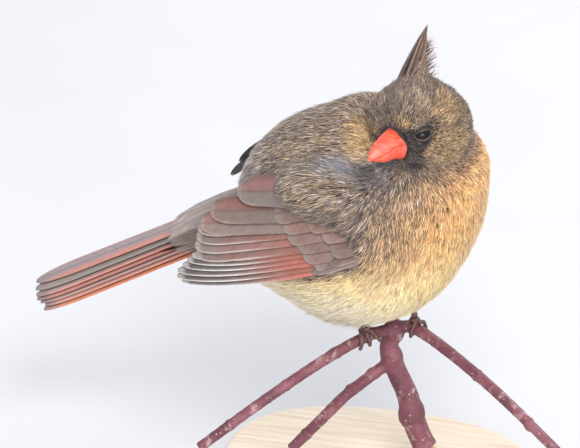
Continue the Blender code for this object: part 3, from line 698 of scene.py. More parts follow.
def make_coat(skin, count, material):
    """The whole coat in pieces, by where their roots lie."""
    roots = scatter(skin, count)
    rng.shuffle(roots)
    on_head = np.linalg.norm(roots - HEAD_CENTRE, axis=1) < 27 * MM
    left = (roots - HEAD_CENTRE) @ HEAD_L
    around = np.arctan2(*(roots - BODY_HEART)[:, :2].T)
    for name, chosen, rank, centre in (
        ("coat_head", on_head, left, HEAD_CENTRE), ("coat_body", ~on_head, around, BODY_HEART),
    ):
        group = roots[chosen][np.argsort(rank[chosen])]
        parts = np.array_split(group, math.ceil(len(group) / PIECE_CLUMPS))
        for k, part in enumerate(parts, 1):
            coat_piece(f"{name}_{k}", part, centre, material)


# Long feathers

ACROSS = np.array([-1, -0.93, -0.72, -0.45, -0.2, -0.06, 0, 0.06, 0.25, 0.5, 0.78, 0.94, 1])


def round_tip(share):
    """The width of a flight feather: narrow at the quill and round at the tip."""
    fall = np.sqrt(np.clip(1.0 - np.clip((share - 0.76) / 0.245, 0, None) ** 2.2, 0, 1))
    return np.minimum(1.0, 0.42 + 2.4 * share) * (0.10 + 0.90 * fall)


def sharp_tip(share):
    """The width of a feather that narrows over its last third."""
    fall = np.clip(1.0 - np.clip((share - 0.60) / 0.405, 0, None) ** 2.2, 0, 1) ** 0.62
    return np.minimum(1.0, 0.45 + 2.4 * share) * (0.08 + 0.92 * fall)


class Feathers:
    """Gathers feathers of one kind into one mesh of thin closed strips."""

    def __init__(self):
        self.vertices, self.faces, self.tints, self.lays = [], [], [], []

    def add(self, locate, width, colour, length, rows=26, profile=round_tip, lead=-0.25):
        """One feather. locate(share, across) gives points and normals from millimetres across."""
        share, f = np.meshgrid(np.linspace(0, 1, rows) ** 0.86, ACROSS, indexing="ij")
        shaft = np.where(f < 0, lead + f * (1 + lead), lead + f * (1 - lead))
        across = (width / 2 * profile(share) * shaft).ravel()
        share, f = share.ravel(), f.ravel()
        spots, outs = locate(share, across)
        ridge = 0.14 * np.exp(-(f / 0.05) ** 2) * (1 - 0.75 * share)
        arch = 0.14 * (1 - f**2)
        half = 0.085 * (1 - 0.55 * f**4)
        corner = np.arange(len(share)).reshape(rows, len(ACROSS))
        a, b = corner[:-1, :-1].ravel(), corner[1:, :-1].ravel()
        c, d = corner[1:, 1:].ravel(), corner[:-1, 1:].ravel()
        rim = np.concatenate([corner[:, 0], corner[-1, 1:], corner[-2::-1, -1], corner[0, -2:0:-1]])
        after = np.roll(rim, -1)
        below = len(share)
        self.faces.append(sum(map(len, self.vertices)) + np.concatenate([
            np.stack([a, b, c, d], 1), np.stack([d, c, b, a], 1) + below,
            np.stack([rim, rim + below, after + below, after], 1),
        ]))
        self.vertices.append(spots + outs * column((arch + half + ridge) * MM))
        self.vertices.append(spots + outs * column((arch - half) * MM))
        tint = colour(share, f)
        lay = np.stack([share * length / 100, across / 20 + 0.5, np.full(below, rng.random())], 1)
        self.tints += [tint, tint * 0.86]
        self.lays += [lay, lay]

    def build(self, name, node, material):
        """The gathered feathers as one piece."""
        made = link_mesh(name, np.concatenate(self.vertices), np.concatenate(self.faces))
        paint_points(made, linear(np.concatenate(self.tints)))
        paint_points(made, np.concatenate(self.lays), "lay")
        finish_piece(made, "flight_feathers", node, material=material)


def web_colour(outer, inner, edge, tip, edge_from=0.35, tip_from=0.86, root=None, rim_width=0.10,
               fade=(0.12, 0.70)):
    """A rule for the colours of one feather, over its length and from its outer to its inner edge, with
    painted shade on the inner edge.
    """
    change = rng.normal(1.0, 0.05)
    hue = rng.normal(0, 1) * np.array([2.5, -0.5, -2.0])
    outer, inner, tip = (np.array(c, float) * change + hue for c in (outer, inner, tip))
    start = outer if root is None else np.array(root, float) * change

    def colour(share, f):
        base = blend_colours(start, outer, smooth(*fade, share))
        base = blend_colours(base, inner, smooth(-0.30, 0.30, f))
        base = blend_colours(base, tip, smooth(tip_from - 0.16, tip_from + 0.08, share))
        rim = smooth(1 - rim_width * 2.2, 1 - rim_width * 0.6, -f)
        rim = rim * smooth(edge_from - 0.2, edge_from + 0.2, share)
        base = blend_colours(base, edge, np.maximum(rim, smooth(0.955, 0.985, share) * 0.8))
        # Painted shade darkens the inner edge, where the next feather lies over it; the dark line on the
        # shaft is a mark of the feather.
        return base * column((1 - 0.30 * smooth(0.45, 1.0, f)) * (1 - 0.30 * np.exp(-(f / 0.05) ** 2)))

    return colour


# Wings

WRIST = FORK + np.array([10, -42, 56]) * MM
WING_RUN = unit([-87, 6, -29])
WING_CURVE = 45 * MM
WING_START = math.radians(12)


def across_run(ways):
    """Directions with what runs along the wing taken out."""
    return unit(ways - WING_RUN * column(ways @ WING_RUN))


def wing_spot(ahead, up, out, side):
    """Points on the wing's curved sheet and the way out of it, as in the solids, in millimetres."""
    turn = WING_START + up * MM / WING_CURVE
    way = across_run(np.stack([np.zeros_like(turn), -np.cos(turn), np.sin(turn)], axis=1))
    low = across_run(np.array([[0, -math.cos(WING_START), math.sin(WING_START)]]))
    centre = WRIST - low * WING_CURVE + WING_RUN * column(ahead * MM)
    way, centre = way * [1, -side, 1], centre * [1, -side, 1]
    free = WING_CURVE - 6 * MM * np.clip(1 - ahead / 55, 0, None) ** 2
    body = free
    for _ in range(5):
        body = np.maximum(body - distance(centre + way * column(body), FLESH), 10 * MM)
    lowest = body + 1 * MM
    mixed = np.clip(4 * MM - np.abs(free - lowest), 0, None)
    radius = np.maximum(free, lowest) + mixed**2 / (16 * MM)
    return centre + way * column(radius + out * MM), way


def wing_locate(side, root, tip, out_root, out_tip, slope, bow=0.0):
    """A rule for the points of a feather laid between two places on the wing's sheet."""

    def locate(share, across):
        ahead, up = (start + (end - start) * share for start, end in zip(root, tip))
        out = out_root + (out_tip - out_root) * share - slope * across
        return wing_spot(ahead, up + across + bow * 4 * share * (1 - share), out, side)

    return locate


def bent_locate(points):
    """A rule for a far feather along a bend through three places, in millimetres from the fork."""
    first, middle, last = FORK + np.array(points, float) * MM

    def locate(share, across):
        t = column(share)
        spots = first * (1 - t) ** 2 + middle * 2 * t * (1 - t) + last * t**2
        runs = unit((middle - first) * (1 - t) + (last - middle) * t)
        sides = unit(np.cross((-0.25, 0.72, 0.64), runs))
        return spots + sides * column(across * MM), np.cross(runs, sides)

    return locate


PRIMARY_TIPS = ((91.0, -0.6), (92.6, 1.6), (91.8, 3.8), (89.2, 5.7), (86.8, 7.5), (84.5, 9.0))
NEAR_SECONDARIES = ((82.4, 9.6), (82.4, 13.0), (81.2, 16.4), (80.4, 19.8))
FAR_SECONDARIES = ((74, 9.4), (75, 12.8), (74, 16.2), (71, 19.8))
TERTIALS = (
    ((29, 16.0), (79.2, 21.2), 11.4), ((27, 19.5), (74.2, 25.4), 11.8), ((25, 23.4), (61.8, 31.2), 12),
)

# Count, first tip along and up, length, width and height over the sheet for each row of coverts.
COVERT_ROWS = ((6, 33.0, -1.4, 22, 9.6, 1.7), (5, 24.0, 3.6, 16, 9.0, 2.3))
ALULA = (((8, -2.5), (34, -5.4)), ((6, -0.5), (26, -3.0)))
FAR_TIPS = (
    ((-42, 31, 69), (-60, 31, 59.5), (-69.8, 28, 49.2)),
    ((-44, 32, 60), (-64, 31, 53.0), (-73.3, 28, 42.6)),
)
WHITE_EDGE = (244, 238, 230)


def make_wing(side, name, material):
    """One folded wing: primaries, secondaries, tertials, two rows of coverts and the alula."""
    near = side < 0
    flight, cover = Feathers(), Feathers()
    for k, (ahead, up) in enumerate(PRIMARY_TIPS):
        ahead = ahead * (1.0 if near else 0.9)
        rule = web_colour((72, 62, 66), (54, 50, 56), WHITE_EDGE, (84, 76, 80), root=(182, 98, 84),
                          edge_from=0.50, tip_from=0.84, rim_width=0.18, fade=(0.32, 0.80))
        root = (12 + 2.0 * k, -3.0 + 1.85 * k)
        locate = wing_locate(side, root, (ahead, up), 0.0, 0.3, 0.47, -1.1 + 0.15 * k)
        flight.add(locate, 7.6, rule, ahead - root[0], 36, sharp_tip, -0.35)
    for k, tip in enumerate(NEAR_SECONDARIES if near else FAR_SECONDARIES):
        rule = web_colour((132, 94, 88), (92, 76, 74), (212, 197, 188), (124, 108, 104), root=(150, 92, 80),
                          edge_from=0.45, rim_width=0.07)
        locate = wing_locate(side, (25 + 2.4 * k, 7.4 + 3.0 * k), tip, 0.3, 0.5, 0.34)
        flight.add(locate, 9.4, rule, 56, 32, lead=-0.3)
    for i, (root, (ahead, up), width) in enumerate(TERTIALS):
        rule = web_colour((126, 110, 104), (150, 90, 84), (176, 160, 148), (140, 112, 104), edge_from=0.7,
                          tip_from=0.98, rim_width=0.05)
        tip = (ahead * (1.0 if near else 0.86), up)
        locate = wing_locate(side, root, tip, 0.8 + 0.3 * i, 1.2 + 0.4 * i, 0.22)
        flight.add(locate, width, rule, 44, 32, lead=-0.1)
    for row, (count, back, low, long, width, out) in enumerate(COVERT_ROWS):
        for share in np.arange(count) / (count - 1):
            tip = (back + 12.5 * share + rng.normal(0, 0.7), low + 21.0 * share + rng.normal(0, 0.3))
            rule = web_colour((134, 100, 92), (132, 86, 78), (160, 142, 130), (140, 122, 110), edge_from=0.7,
                              tip_from=0.9, rim_width=0.05)
            root = (tip[0] - long, tip[1] - 1.0 + 2.0 * share)
            locate = wing_locate(side, root, tip, out - 1.2, out + 0.5 * share, 0.25 + 0.02 * row)
            cover.add(locate, width, rule, long, 22, lead=-0.1)
    for root, tip in ALULA:
        rule = web_colour((130, 102, 96), (112, 88, 84), (182, 168, 158), (112, 94, 90), edge_from=0.4)
        cover.add(wing_locate(side, root, tip, 1.2, 2.5, 0.2), 4.8, rule, 25, 22, sharp_tip)
    for points in () if near else FAR_TIPS:
        rule = web_colour((96, 86, 88), (84, 76, 80), WHITE_EDGE, (84, 76, 80), edge_from=0.5, rim_width=0.16)
        flight.add(bent_locate(points), 7.0, rule, 40, 36, sharp_tip, -0.2)
    flight.build(f"{name}_flight", name, material)
    cover.build(f"{name}_coverts", name, material)


# Tail

TAIL_ROOT = FORK + np.array([-64, 0, 45]) * MM
TAIL_PITCH = math.radians(29.5)
TAIL_ROLL = math.radians(11)
TAIL_RUN = np.array([-math.cos(TAIL_PITCH), 0, -math.sin(TAIL_PITCH)])
TAIL_FACE = np.array([-math.sin(TAIL_PITCH), 0, math.cos(TAIL_PITCH)])
TAIL_SIDE = np.array([0, math.cos(TAIL_ROLL), 0]) + TAIL_FACE * math.sin(TAIL_ROLL)
TAIL_TOP = TAIL_FACE * math.cos(TAIL_ROLL) - np.array([0, math.sin(TAIL_ROLL), 0])
TAIL_ROWS = np.array([TAIL_RUN, TAIL_SIDE, TAIL_TOP])

# Web, stripe and how far the stripe reaches in, for each pair below the central one.
TAIL_PAIRS = (
    ((190, 166, 162), (242, 162, 148), -0.45), ((226, 172, 162), (246, 158, 142), -0.35),
    ((196, 166, 162), (224, 174, 164), -0.55), ((230, 176, 164), (250, 166, 146), -0.45),
    ((196, 160, 152), (255, 142, 92), -0.34),
)


def tail_locate(reach, aside_root, aside_tip, drop, slope=0.0):
    """A rule for the points of a feather along the tail, as in the solids."""

    def locate(share, across):
        spots = TAIL_ROOT + np.stack([
            2 + (reach - 2) * share,
            aside_root + (aside_tip - aside_root) * share + across,
            -drop * (1.95 - 0.95 * share) - slope * across,
        ], axis=1) @ TAIL_ROWS * MM
        return spots, np.broadcast_to(TAIL_TOP, spots.shape)

    return locate


def tail_colour(web, stripe, stripe_to, flip=1, far_edge=0):
    """A rule for a tail feather: a bright stripe along one edge, a painted shadow line beside it where the
    feather above lies, a dark shaft line and a grey web.
    """
    change = rng.normal(1.0, 0.04)
    web, stripe, tip = (np.array(c, float) * change for c in (web, stripe, (140, 122, 124)))

    def colour(share, f):
        f = f * flip
        base = blend_colours(web, (150, 130, 130), smooth(0.1, 0.8, f) * 0.8)
        # A painted shadow line just inside the stripe, along the seam where the feather above lies.
        base = base * column(1 - 0.30 * np.exp(-((f - stripe_to - 0.10) / 0.08) ** 2))
        shown = (1 - smooth(stripe_to - 0.10, stripe_to + 0.04, f)) * (1 - 0.65 * smooth(0.82, 1.0, share))
        base = blend_colours(base, stripe, shown)
        base = blend_colours(base, tip, smooth(0.90, 1.0, share) * 0.7)
        base = base * column(1 - 0.35 * np.exp(-(f / 0.05) ** 2))
        return blend_colours(base, (206, 128, 112), smooth(0.86, 0.95, f) * far_edge)

    return colour


def make_tail(material):
    """Twelve long tail feathers, the central pair on top and each pair under the last."""
    quills = Feathers()
    rule = tail_colour((166, 148, 154), (226, 140, 122), -0.42, far_edge=1)
    quills.add(tail_locate(96, 0.6, 2.0, 0.2), 10.5, rule, 94, 44, lead=0.05)
    for side in (1, -1):
        if side < 0:
            rule = tail_colour((182, 166, 156), (164, 150, 142), -0.62)
            quills.add(tail_locate(96, -0.6, -2.0, 1.05), 10.5, rule, 94, 44, lead=-0.15)
        for pair, marks in enumerate(TAIL_PAIRS, 1):
            rule = tail_colour(*marks, flip=-side)
            locate = tail_locate(96 - 0.8 * pair + rng.normal(0, 0.6), side * (1.5 + 0.5 * pair),
                                 side * (3.9 + 1.75 * pair), 1.05 + 0.85 * pair, 0.05 * side)
            quills.add(locate, 8.6, rule, 90, 44, lead=0.3 * side)
    quills.build("tail_quills", "tail", material)


# Loose tufts: tail coverts, crest and bristles


def barbs(name, roots, tips, outs, widths, colours, material, bow):
    """Fine tapering blades from root to tip, bowed outwards, as one piece."""
    run = tips - roots
    rise = outs * column(np.linalg.norm(run, axis=1) * bow * 4)
    middles = [roots + run * share + rise * share * (1 - share) for share in BLADE_SHARES]
    shades = [colours * (0.66 + 0.48 * share) for share in BLADE_SHARES]
    spots, tints = blade_points(middles, [unit(np.cross(outs, run))] * 4, widths / 2, shades)
    low, high = roots.min(axis=0), roots.max(axis=0)
    wide = np.argsort(high - low)[-2:]
    places = 0.01 + 0.98 * ((roots - low) / np.maximum(high - low, 1e-9))[:, wide]
    blade_piece(name, spots, tints, places, material)


def toned(colour, middle, spread, count):
    """One colour in lighter and darker tones."""
    return np.array(colour, float) * column(rng.normal(middle, spread, count))


def make_tail_coverts(material):
    """The soft coverts that lie over and under the roots of the tail feathers."""
    for name, count, facing, depth, wrap, lift, longest, colour in (
        ("coverts_above", 8400, 1, 3.6, 2.7, 0.30, 31, (160, 146, 140)),
        ("coverts_below", 3600, -1, -7.4, 1.2, 0.85, 40, (222, 190, 156)),
    ):
        reach = longest * rng.uniform(0.25, 1.0, count) ** 0.7
        side = rng.uniform(-1, 1, count)
        turn = np.abs(side) * wrap
        over = np.minimum(turn, math.pi / 2)
        across = np.sign(side) * (10.6 - 1.6 * reach / longest) * np.sin(over)
        rise = depth * np.cos(over) - 7.5 * (turn - over)
        root = np.stack([rng.uniform(-9, 6, count), across, rise - 1.2], axis=1)
        reach = reach * (1 - 0.35 * np.maximum(side, 0) ** 2)
        tip = np.stack([reach, across * 0.92, rise * np.where(rise > 0, lift, 0.92)], axis=1)
        outs = unit(TAIL_TOP * facing + TAIL_SIDE * column(side * 0.7))
        colours = toned(colour, 1.0, 0.12, count)
        widths = rng.uniform(0.4, 0.7, count) * MM
        roots, tips = (TAIL_ROOT + spots @ TAIL_ROWS * MM for spots in (root, tip))
        barbs(name, roots, tips, outs, widths, colours, material, 0.05)


def make_crest(material):
    """The crest: barbs that lie over each other and meet in a point, smooth in front and ragged behind."""
    count = 9000
    back = rng.random(count) ** 0.8
    side = rng.uniform(-1, 1, count)
    stop = rng.random(count) ** 1.3
    root = np.stack([
        9.0 - 14.5 * back,
        side * (4.6 - 2.4 * back) - 1.0 - 0.8 * back,
        19.0 - 2.5 * back - 1.4 * side**2,
    ], axis=1)
    tip = np.stack([
        -17.6 + 7.4 * back + 8.6 * stop,
        side * (0.2 + 0.7 * back + 1.3 * stop) - 0.5 * stop,
        35.2 - 9.4 * back - 12.0 * stop,
    ], axis=1)
    root += (tip - root) * column(0.65 * rng.random(count) ** 1.4)
    outs = head_way(np.stack([0.75 - 1.1 * back, side, np.full(count, 0.35)], axis=1))
    rust = smooth(19, 32, (root[:, 2] + tip[:, 2]) / 2) * (0.45 + 0.5 * back) * rng.uniform(0.3, 1.5, count)
    colours = np.array(CROWN, float) + (np.array(CREST_RED) - CROWN) * column(rust)
    colours = colours * column(rng.normal(0.96, 0.32, count).clip(0.4, 1.6))
    front = (back < 0.14) & (side < -0.45)
    colours[front] = toned((204, 152, 112), 0.95, 0.1, front.sum())
    widths = rng.uniform(0.28, 0.52, count) * MM
    barbs("crest_tuft", head_spot(root), head_spot(tip), outs, widths, colours, material, 0.03)


def make_crest_hairs(material):
    """Fine loose hairs that stand out behind the crest."""
    count = 260
    up = rng.random(count)
    side = rng.uniform(-1, 1, count)
    root = np.stack([-5.6 - 6.2 * up, side * (3.0 - 2.2 * up), 16 + 12 * up], axis=1)
    reach = column(rng.uniform(2.5, 6.0, count))
    way = unit(np.stack([rng.normal(-0.9, 0.15, count), side * 0.3, rng.normal(0.35, 0.2, count)], axis=1))
    colours = toned((158, 122, 112), 1.0, 0.16, count)
    widths = rng.uniform(0.16, 0.30, count) * MM
    outs = head_way(np.stack([np.full(count, -1.0), side, np.zeros(count)], axis=1))
    tip = root + way * reach
    barbs("crest_hairs", head_spot(root), head_spot(tip), outs, widths, colours, material, 0.12)


def make_bristles(material):
    """Short dark feathers that lie forward over the base of the bill."""
    count = 2400
    turn = rng.uniform(0, 2 * math.pi, count)
    around = np.stack([np.zeros(count), np.cos(turn), np.sin(turn)], axis=1)
    roots = np.array([16.2, 0, -0.6]) + around * [0, 6.7, 7.2] + around * column(0.9 * rng.random(count))
    reach = rng.uniform(2.4, 4.6, count) * np.where(around[:, 2] < -0.5, 0.7, 1.0)
    tips = roots + np.array([1, 0, 0]) * column(reach) + around * column(rng.uniform(-0.35, 0.5, count))
    colours = toned(MASK, 1.0, 0.25, count)
    widths = rng.uniform(0.2, 0.36, count) * MM
    barbs("bristles", head_spot(roots), head_spot(tips), head_way(around), widths, colours, material, 0.05)


# Eyes and bill

LID_FACING = (0.52, 0.85, 0.02)
LID_FAR = math.radians(76)
LID_DARK = (64, 56, 52)
LID_PALE = (116, 104, 92)
EYE_HALF_LENGTH = 3.2
EYE_ABOVE = 1.0
EYE_BELOW = 2.3
EYE_TILT = -0.12

# Degrees out from the rim of the opening and height over the ball.
LID_SECTION = ((0.0, -0.06), (0.3, 0.14), (1.6, 0.34), (3.4, 0.34), (5.5, 0.20), (14, 0.16), (34, 0.10))


def make_ball(side, name, material):
    """The glossy ball of an eye."""
    sphere = grid_sphere(16)
    for vertex in sphere.verts:
        vertex.co = Vector(EYES[side]) + vertex.co * EYE_RADIUS
    finish_piece(from_bmesh(f"ball_{name}", sphere), "eye", name, material=material)


def make_lids(side, name, material):
    """Lids that leave an almond of the ball open."""
    centre, radius = EYES[side], EYE_RADIUS / MM
    axis = head_way(np.array(LID_FACING) * [1, side, 1])
    up = unit(HEAD_U - axis * (HEAD_U @ axis) + HEAD_F * EYE_TILT)
    up = unit(up - axis * (up @ axis))
    along = np.cross(up, axis)
    rings = []
    for turn in 2 * math.pi * np.arange(72) / 72:
        x, y = math.cos(turn), math.sin(turn)
        tall = EYE_ABOVE if y > 0 else EYE_BELOW
        spread = math.atan2(tall * y, EYE_HALF_LENGTH * x)
        out = along * math.cos(spread) + up * math.sin(spread)
        first = math.asin(math.hypot(EYE_HALF_LENGTH * x, tall * y * (1 + 0.1 * x)) / radius)
        section = [(min(first + math.radians(degrees), LID_FAR), rise) for degrees, rise in LID_SECTION]
        section += [(LID_FAR, 0.1), (LID_FAR, -0.3), (first, -0.3)]
        rings.append([
            centre + (axis * math.cos(angle) + out * math.sin(angle)) * (radius + rise) * MM
            for angle, rise in section
        ])
    lids = loft_rows(f"lid_{name}", rings + rings[:1], closed=False)
    lids.modifiers.new("weld", "WELD").merge_threshold = 0.01 * MM
    apply_modifiers(lids)
    recalculated(lids)
    rise = np.linalg.norm((points_of(lids) - centre) / MM, axis=1) - radius
    paint_points(lids, linear(blend_colours(np.array(LID_DARK), LID_PALE, smooth(0.22, 0.34, rise))))
    finish_piece(lids, "body_plumage", material=material)


BILL_BASE = 17.6
BILL_TIP = 35.8


def bill_outline(share):
    """Heights of culmen, gape and chin and half the width, in millimetres, as in the solids."""
    culmen = 6.9 * math.sqrt(max(0.0, 1 - share**1.75)) - 0.5 * share
    gape = -2.0 + 1.9 * share + 1.3 * math.exp(-(((share - 0.32) / 0.2) ** 2)) - 0.6 * share**4
    chin = gape - 6.2 * max(0.0, 1 - (share / 0.93) ** 1.5) ** 0.8 if share < 0.93 else gape
    width = 6.3 * max(0.0, 1 - share**1.3) ** 0.72
    return culmen, gape, chin, width


def bill_ring(share, upper, sides=40):
    """One cross-section of a mandible, with a softly keeled culmen and sharp cutting edges."""
    culmen, gape, chin, width = bill_outline(share)
    floor = gape + (0.12 if upper else -0.12)
    height = max(abs(culmen - floor if upper else floor - chin), 0.25)
    width = max(width, 0.22)
    ahead = BILL_BASE + (BILL_TIP - BILL_BASE) * share
    ring = []
    for turn in 2 * math.pi * np.arange(sides) / sides:
        x, y = math.cos(turn), math.sin(turn)
        across = math.copysign(abs(x) ** 0.85, x) * width
        level = 0.62 * abs(y) ** 1.15 + 0.38 * (1 - abs(x) ** 1.2)
        if y >= 0:
            level *= height
        else:
            level *= -0.3 * min(1, width / 3)
            across *= 0.96
        ring.append((ahead, across, floor + (level if upper else -level)))
    return head_spot(ring)


def make_bill(material):
    """The two halves of the bill, finely divided, with nostrils sunk into the upper one."""
    steps = 1 - (1 - np.linspace(0, 1, 44)) ** 1.35
    for name, upper, last in (("bill_upper", True, 1.0), ("bill_lower", False, 0.92)):
        rows = np.array([bill_ring(share * last, upper) for share in steps])
        for side in (1, -1) if upper else ():
            pit = head_spot((BILL_BASE + 3.2, 5.2 * side, 3.3))
            away = np.linalg.norm(rows - pit, axis=-1, keepdims=True) / MM
            rows = rows + head_way((0, -side, -0.25)) * np.exp(-(away / 0.9) ** 2) * 0.9 * MM
        finish_piece(loft_rows(f"horn_{name}", rows), "bill_horn", name, material=material)


# Twigs, legs and feet


def smooth_path(points, steps):
    """Points along a Catmull-Rom curve through the given ones."""
    points = np.asarray(points, float)
    ends = np.vstack([points[0] * 2 - points[1], points, points[-1] * 2 - points[-2]])
    path = []
    for a, b, c, d in zip(ends, ends[1:], ends[2:], ends[3:]):
        for t in np.arange(steps) / steps:
            path.append(0.5 * (2 * b + (c - a) * t + (2 * a - 5 * b + 4 * c - d) * t**2
                               + (3 * b - a - 3 * c + d) * t**3))
    return np.array([*path, points[-1]])


def tube(name, path, radii, sides):
    """A closed tube round a path, with radii in millimetres."""
    path = np.asarray(path)
    radii = np.interp(np.linspace(0, 1, len(path)), np.linspace(0, 1, len(radii)), radii) * MM
    runs = unit(np.gradient(path, axis=0))
    side = unit(np.cross(runs[0], [0.3, 0.2, 1.0]))
    turns = 2 * math.pi * np.arange(sides) / sides
    rows = []
    for spot, run, radius in zip(path, runs, radii):
        side = unit(side - run * (side @ run))
        other = np.cross(run, side)
        rows.append(spot + (np.outer(np.cos(turns), side) + np.outer(np.sin(turns), other)) * radius)
    return loft_rows(name, rows)


def egg(name, centre, height, radius, sides):
    """An upright egg shape round a point, with its half height and radius in millimetres."""
    turns = np.linspace(-1, 1, 9) * math.pi / 2 * 0.98
    path = centre + np.outer(np.sin(turns) * height, [0, 0, 1]) * MM
    return tube(name, path, np.cos(turns) * radius, sides)


STEM_END_Z = -55
ARM_PATHS = (
    (((3, 1.5, -2.6), (-7.5, -9, -3.1), (-24, -19, -12), (-45, -32, -26.5), (-67, -45, -43)), (2.45, 2.15)),
    (((1, 0, -17), (-6.7, -6, -22.6), (-13.8, -18, -26.2), (-20.4, -32, -31), (-28, -48, -36.5)), (2.5, 2.2)),
    (((3, 1.5, -2.6), (9.5, 2.6, -2.8), (26, -6, -7), (51, -22, -15), (79, -40, -27)), (2.6, 2.1)),
)
STEM_PATH = ((2, 1, -1.5), (-0.4, 0, -11.7), (2.6, 0, -21), (7.45, 0, -32.2), (9.9, 0, -42.7), (17, 0, -60))
KNOTS = (((1.5, 0.5, -4.0), 4.5), ((1.0, -0.3, -16), 4.7), ((9.2, -0.2, -40), 5.6))


def make_perch(material):
    """The forked twig in one skin, with knots, buds and ridged scars."""
    stem = smooth_path(FORK + np.array(STEM_PATH) * MM, 10)
    stem = stem[stem[:, 2] > FORK[2] + STEM_END_Z * MM]
    last = stem[-1] * 2 - stem[-2]
    stem[-1] = last * [1, 1, 0] + [0, 0, FORK[2] + (STEM_END_Z + 0.1) * MM]
    parts = [tube("stem", stem, (3.6, 4.8), 24)]
    for points, radii in ARM_PATHS:
        path = smooth_path(FORK + np.array(points) * MM, 12)
        parts.append(tube("arm", path, radii, 20))
        for at in range(9, len(path) - 6, 11):
            run = unit(path[at + 1] - path[at - 1]) * MM
            out = unit(np.cross(run, [math.sin(at), math.cos(at), 0.7])) * MM
            bud = path[at] + np.array([out * 0.6, out * 2.3 + run * 1.4, out * 2.5 + run * 2.9])
            parts.append(tube("bud", bud, (1.5, 1.05, 0.3), 10))
            parts.append(tube("scar", path[at] + np.outer([-0.6, 0, 0.6], run), (2.3, 2.75, 2.3), 20))
    parts += [egg("knot", FORK + np.array(spot) * MM, size * 1.3, size, 20) for spot, size in KNOTS]
    made = merged("twig", parts, 0.55 * MM, 6)
    points = points_of(made)
    relief = (ripple(points, 6, 21) * 0.08 + ripple(points, 1.8, 22) * 0.05) * MM
    move_points(made, points + points_of(made, "normal") * column(relief))
    finish_piece(made, "bark", "perch", material=material)


# The place on the twig and the twig's run for each foot.
FEET = {
    "right": ((-7.5, -9, -3.1), (-0.78, -0.56, -0.28)),
    "left": ((9.5, 2.6, -2.8), (0.96, -0.12, -0.24)),
}
TOE_RADIUS = 0.95
TWIG_RADIUS = 2.3
CLEARANCE = 0.35
TOE_REACH = TWIG_RADIUS + TOE_RADIUS + CLEARANCE

# Side of the twig, last angle, and shift along the twig at the root and toward the tip of each toe.
TOES = ((1, -62, 0, 0), (1, -46, -1.2, -3.2), (1, -46, 1.2, 3.2), (-1, -52, 0, 0))


def make_toe(centre, run, across, sign, end, shift, splay):
    """One toe with its pads and claw, curled round the twig as in the solids."""
    up = unit(np.cross(run, across))
    up = up if up[2] > 0 else -up
    start, stop = math.radians(100), math.radians(end)
    path, radii = [], []
    for s in np.linspace(0, 1.3, 40):
        on_toe = min(s, 1.0)
        claw = min(max(s - 1.0, 0) / 0.3, 1.0)
        turn = start + (stop - start) * on_toe - math.radians(42) * claw
        pad = 1 + 0.10 * math.cos(on_toe * 6 * math.pi) - 0.03 * math.cos(on_toe * 44 * math.pi)
        way = across * sign * math.cos(turn) + up * math.sin(turn)
        path.append(centre + (run * (shift + splay * on_toe) + way * (TOE_REACH + 0.35 * claw)) * MM)
        if claw > 0:
            radii.append(TOE_RADIUS * 0.62 * (1 - claw) ** 0.8 + 0.06)
        else:
            radii.append(TOE_RADIUS * (1 - 0.22 * on_toe) * pad)
    return tube("toe", path, radii, 14)


def make_foot(name, material):
    """Three toes in front, one behind, the ball of the foot and the shank."""
    spot, run = FEET[name]
    centre = FORK + np.array(spot) * MM
    run = unit(run)
    across = unit(np.cross([0, 0, 1], run))
    across = across if across[0] > 0 else -across
    parts = [make_toe(centre, run, across, *toe) for toe in TOES]
    parts.append(egg("ball", centre + np.array([0, 0, TOE_REACH + 0.5]) * MM, 1.35, 2.1, 16))
    made = merged(f"toes_{name}", parts, 0.22 * MM, 3)
    finish_piece(made, "leg_skin", f"foot_{name}", material=material)
    bottom = centre + np.array([0, 0, TOE_REACH + TOE_RADIUS + 1.0]) * MM
    path = bottom + np.outer(np.linspace(0, 1, 30), np.array([-3.5, 0, 14]) * MM)
    radii = 1.25 + 0.10 * np.abs(np.sin(np.linspace(0, 9 * math.pi, 30)))
    finish_piece(tube(f"shank_{name}", path, radii, 20), "leg_skin", f"leg_{name}", material=material)


# Stand and floor


def make_base(material):
    """The oval plinth with its eased edge and a fine groove round it."""
    turns = 2 * math.pi * np.arange(192) / 192
    x, y = (np.sign(way) * np.abs(way) ** 0.8 for way in (np.cos(turns), np.sin(turns)))
    levels = [(0, 0.5), (0.35, 0.0), (2.6, 0.0), (2.8, 0.35), (3.2, 0.35), (3.4, 0.0), (6.4, 0.0)]
    for turn in np.linspace(0, math.pi / 2, 12):
        levels.append((9 - 2.6 * (1 - math.sin(turn)), 2.6 * (1 - math.cos(turn))))
    levels += [(9.0, 6.0), (9.0, 20.0), (9.0, 36.0)]
    rows = [np.stack([x * (62 - inset), y * (46 - inset), np.full(192, z)], 1) * MM for z, inset in levels]
    finish_piece(loft_rows("plinth", rows), "stand_wood", "stand_base", material=material)


def make_rod(material):
    """The short turned rod under the cut end of the stem."""
    centre = np.array([FORK[0] + 15 * MM, FORK[1], 9.35 * MM])
    top = (FORK[2] - centre[2]) / MM + STEM_END_Z - 0.35
    levels = [(0, 6.2), (0.25, 6.5), (1.1, 6.5), (1.5, 6.2), (1.7, 5.6), (2.0, 5.3), (2.1, 2.9), (2.5, 2.45)]
    levels += [(top - 2.6, 2.4), (top - 2.2, 2.9), (top - 1.8, 4.1), (top - 1.5, 4.4)]
    levels += [(top - 0.25, 4.4), (top, 4.1)]
    turns = 2 * math.pi * np.arange(96) / 96
    x, y = np.cos(turns), np.sin(turns)
    rows = [centre + np.stack([x * radius, y * radius, np.full(96, z)], 1) * MM for z, radius in levels]
    finish_piece(loft_rows("rod", rows), "stand_metal", "stand_rod", material=material)


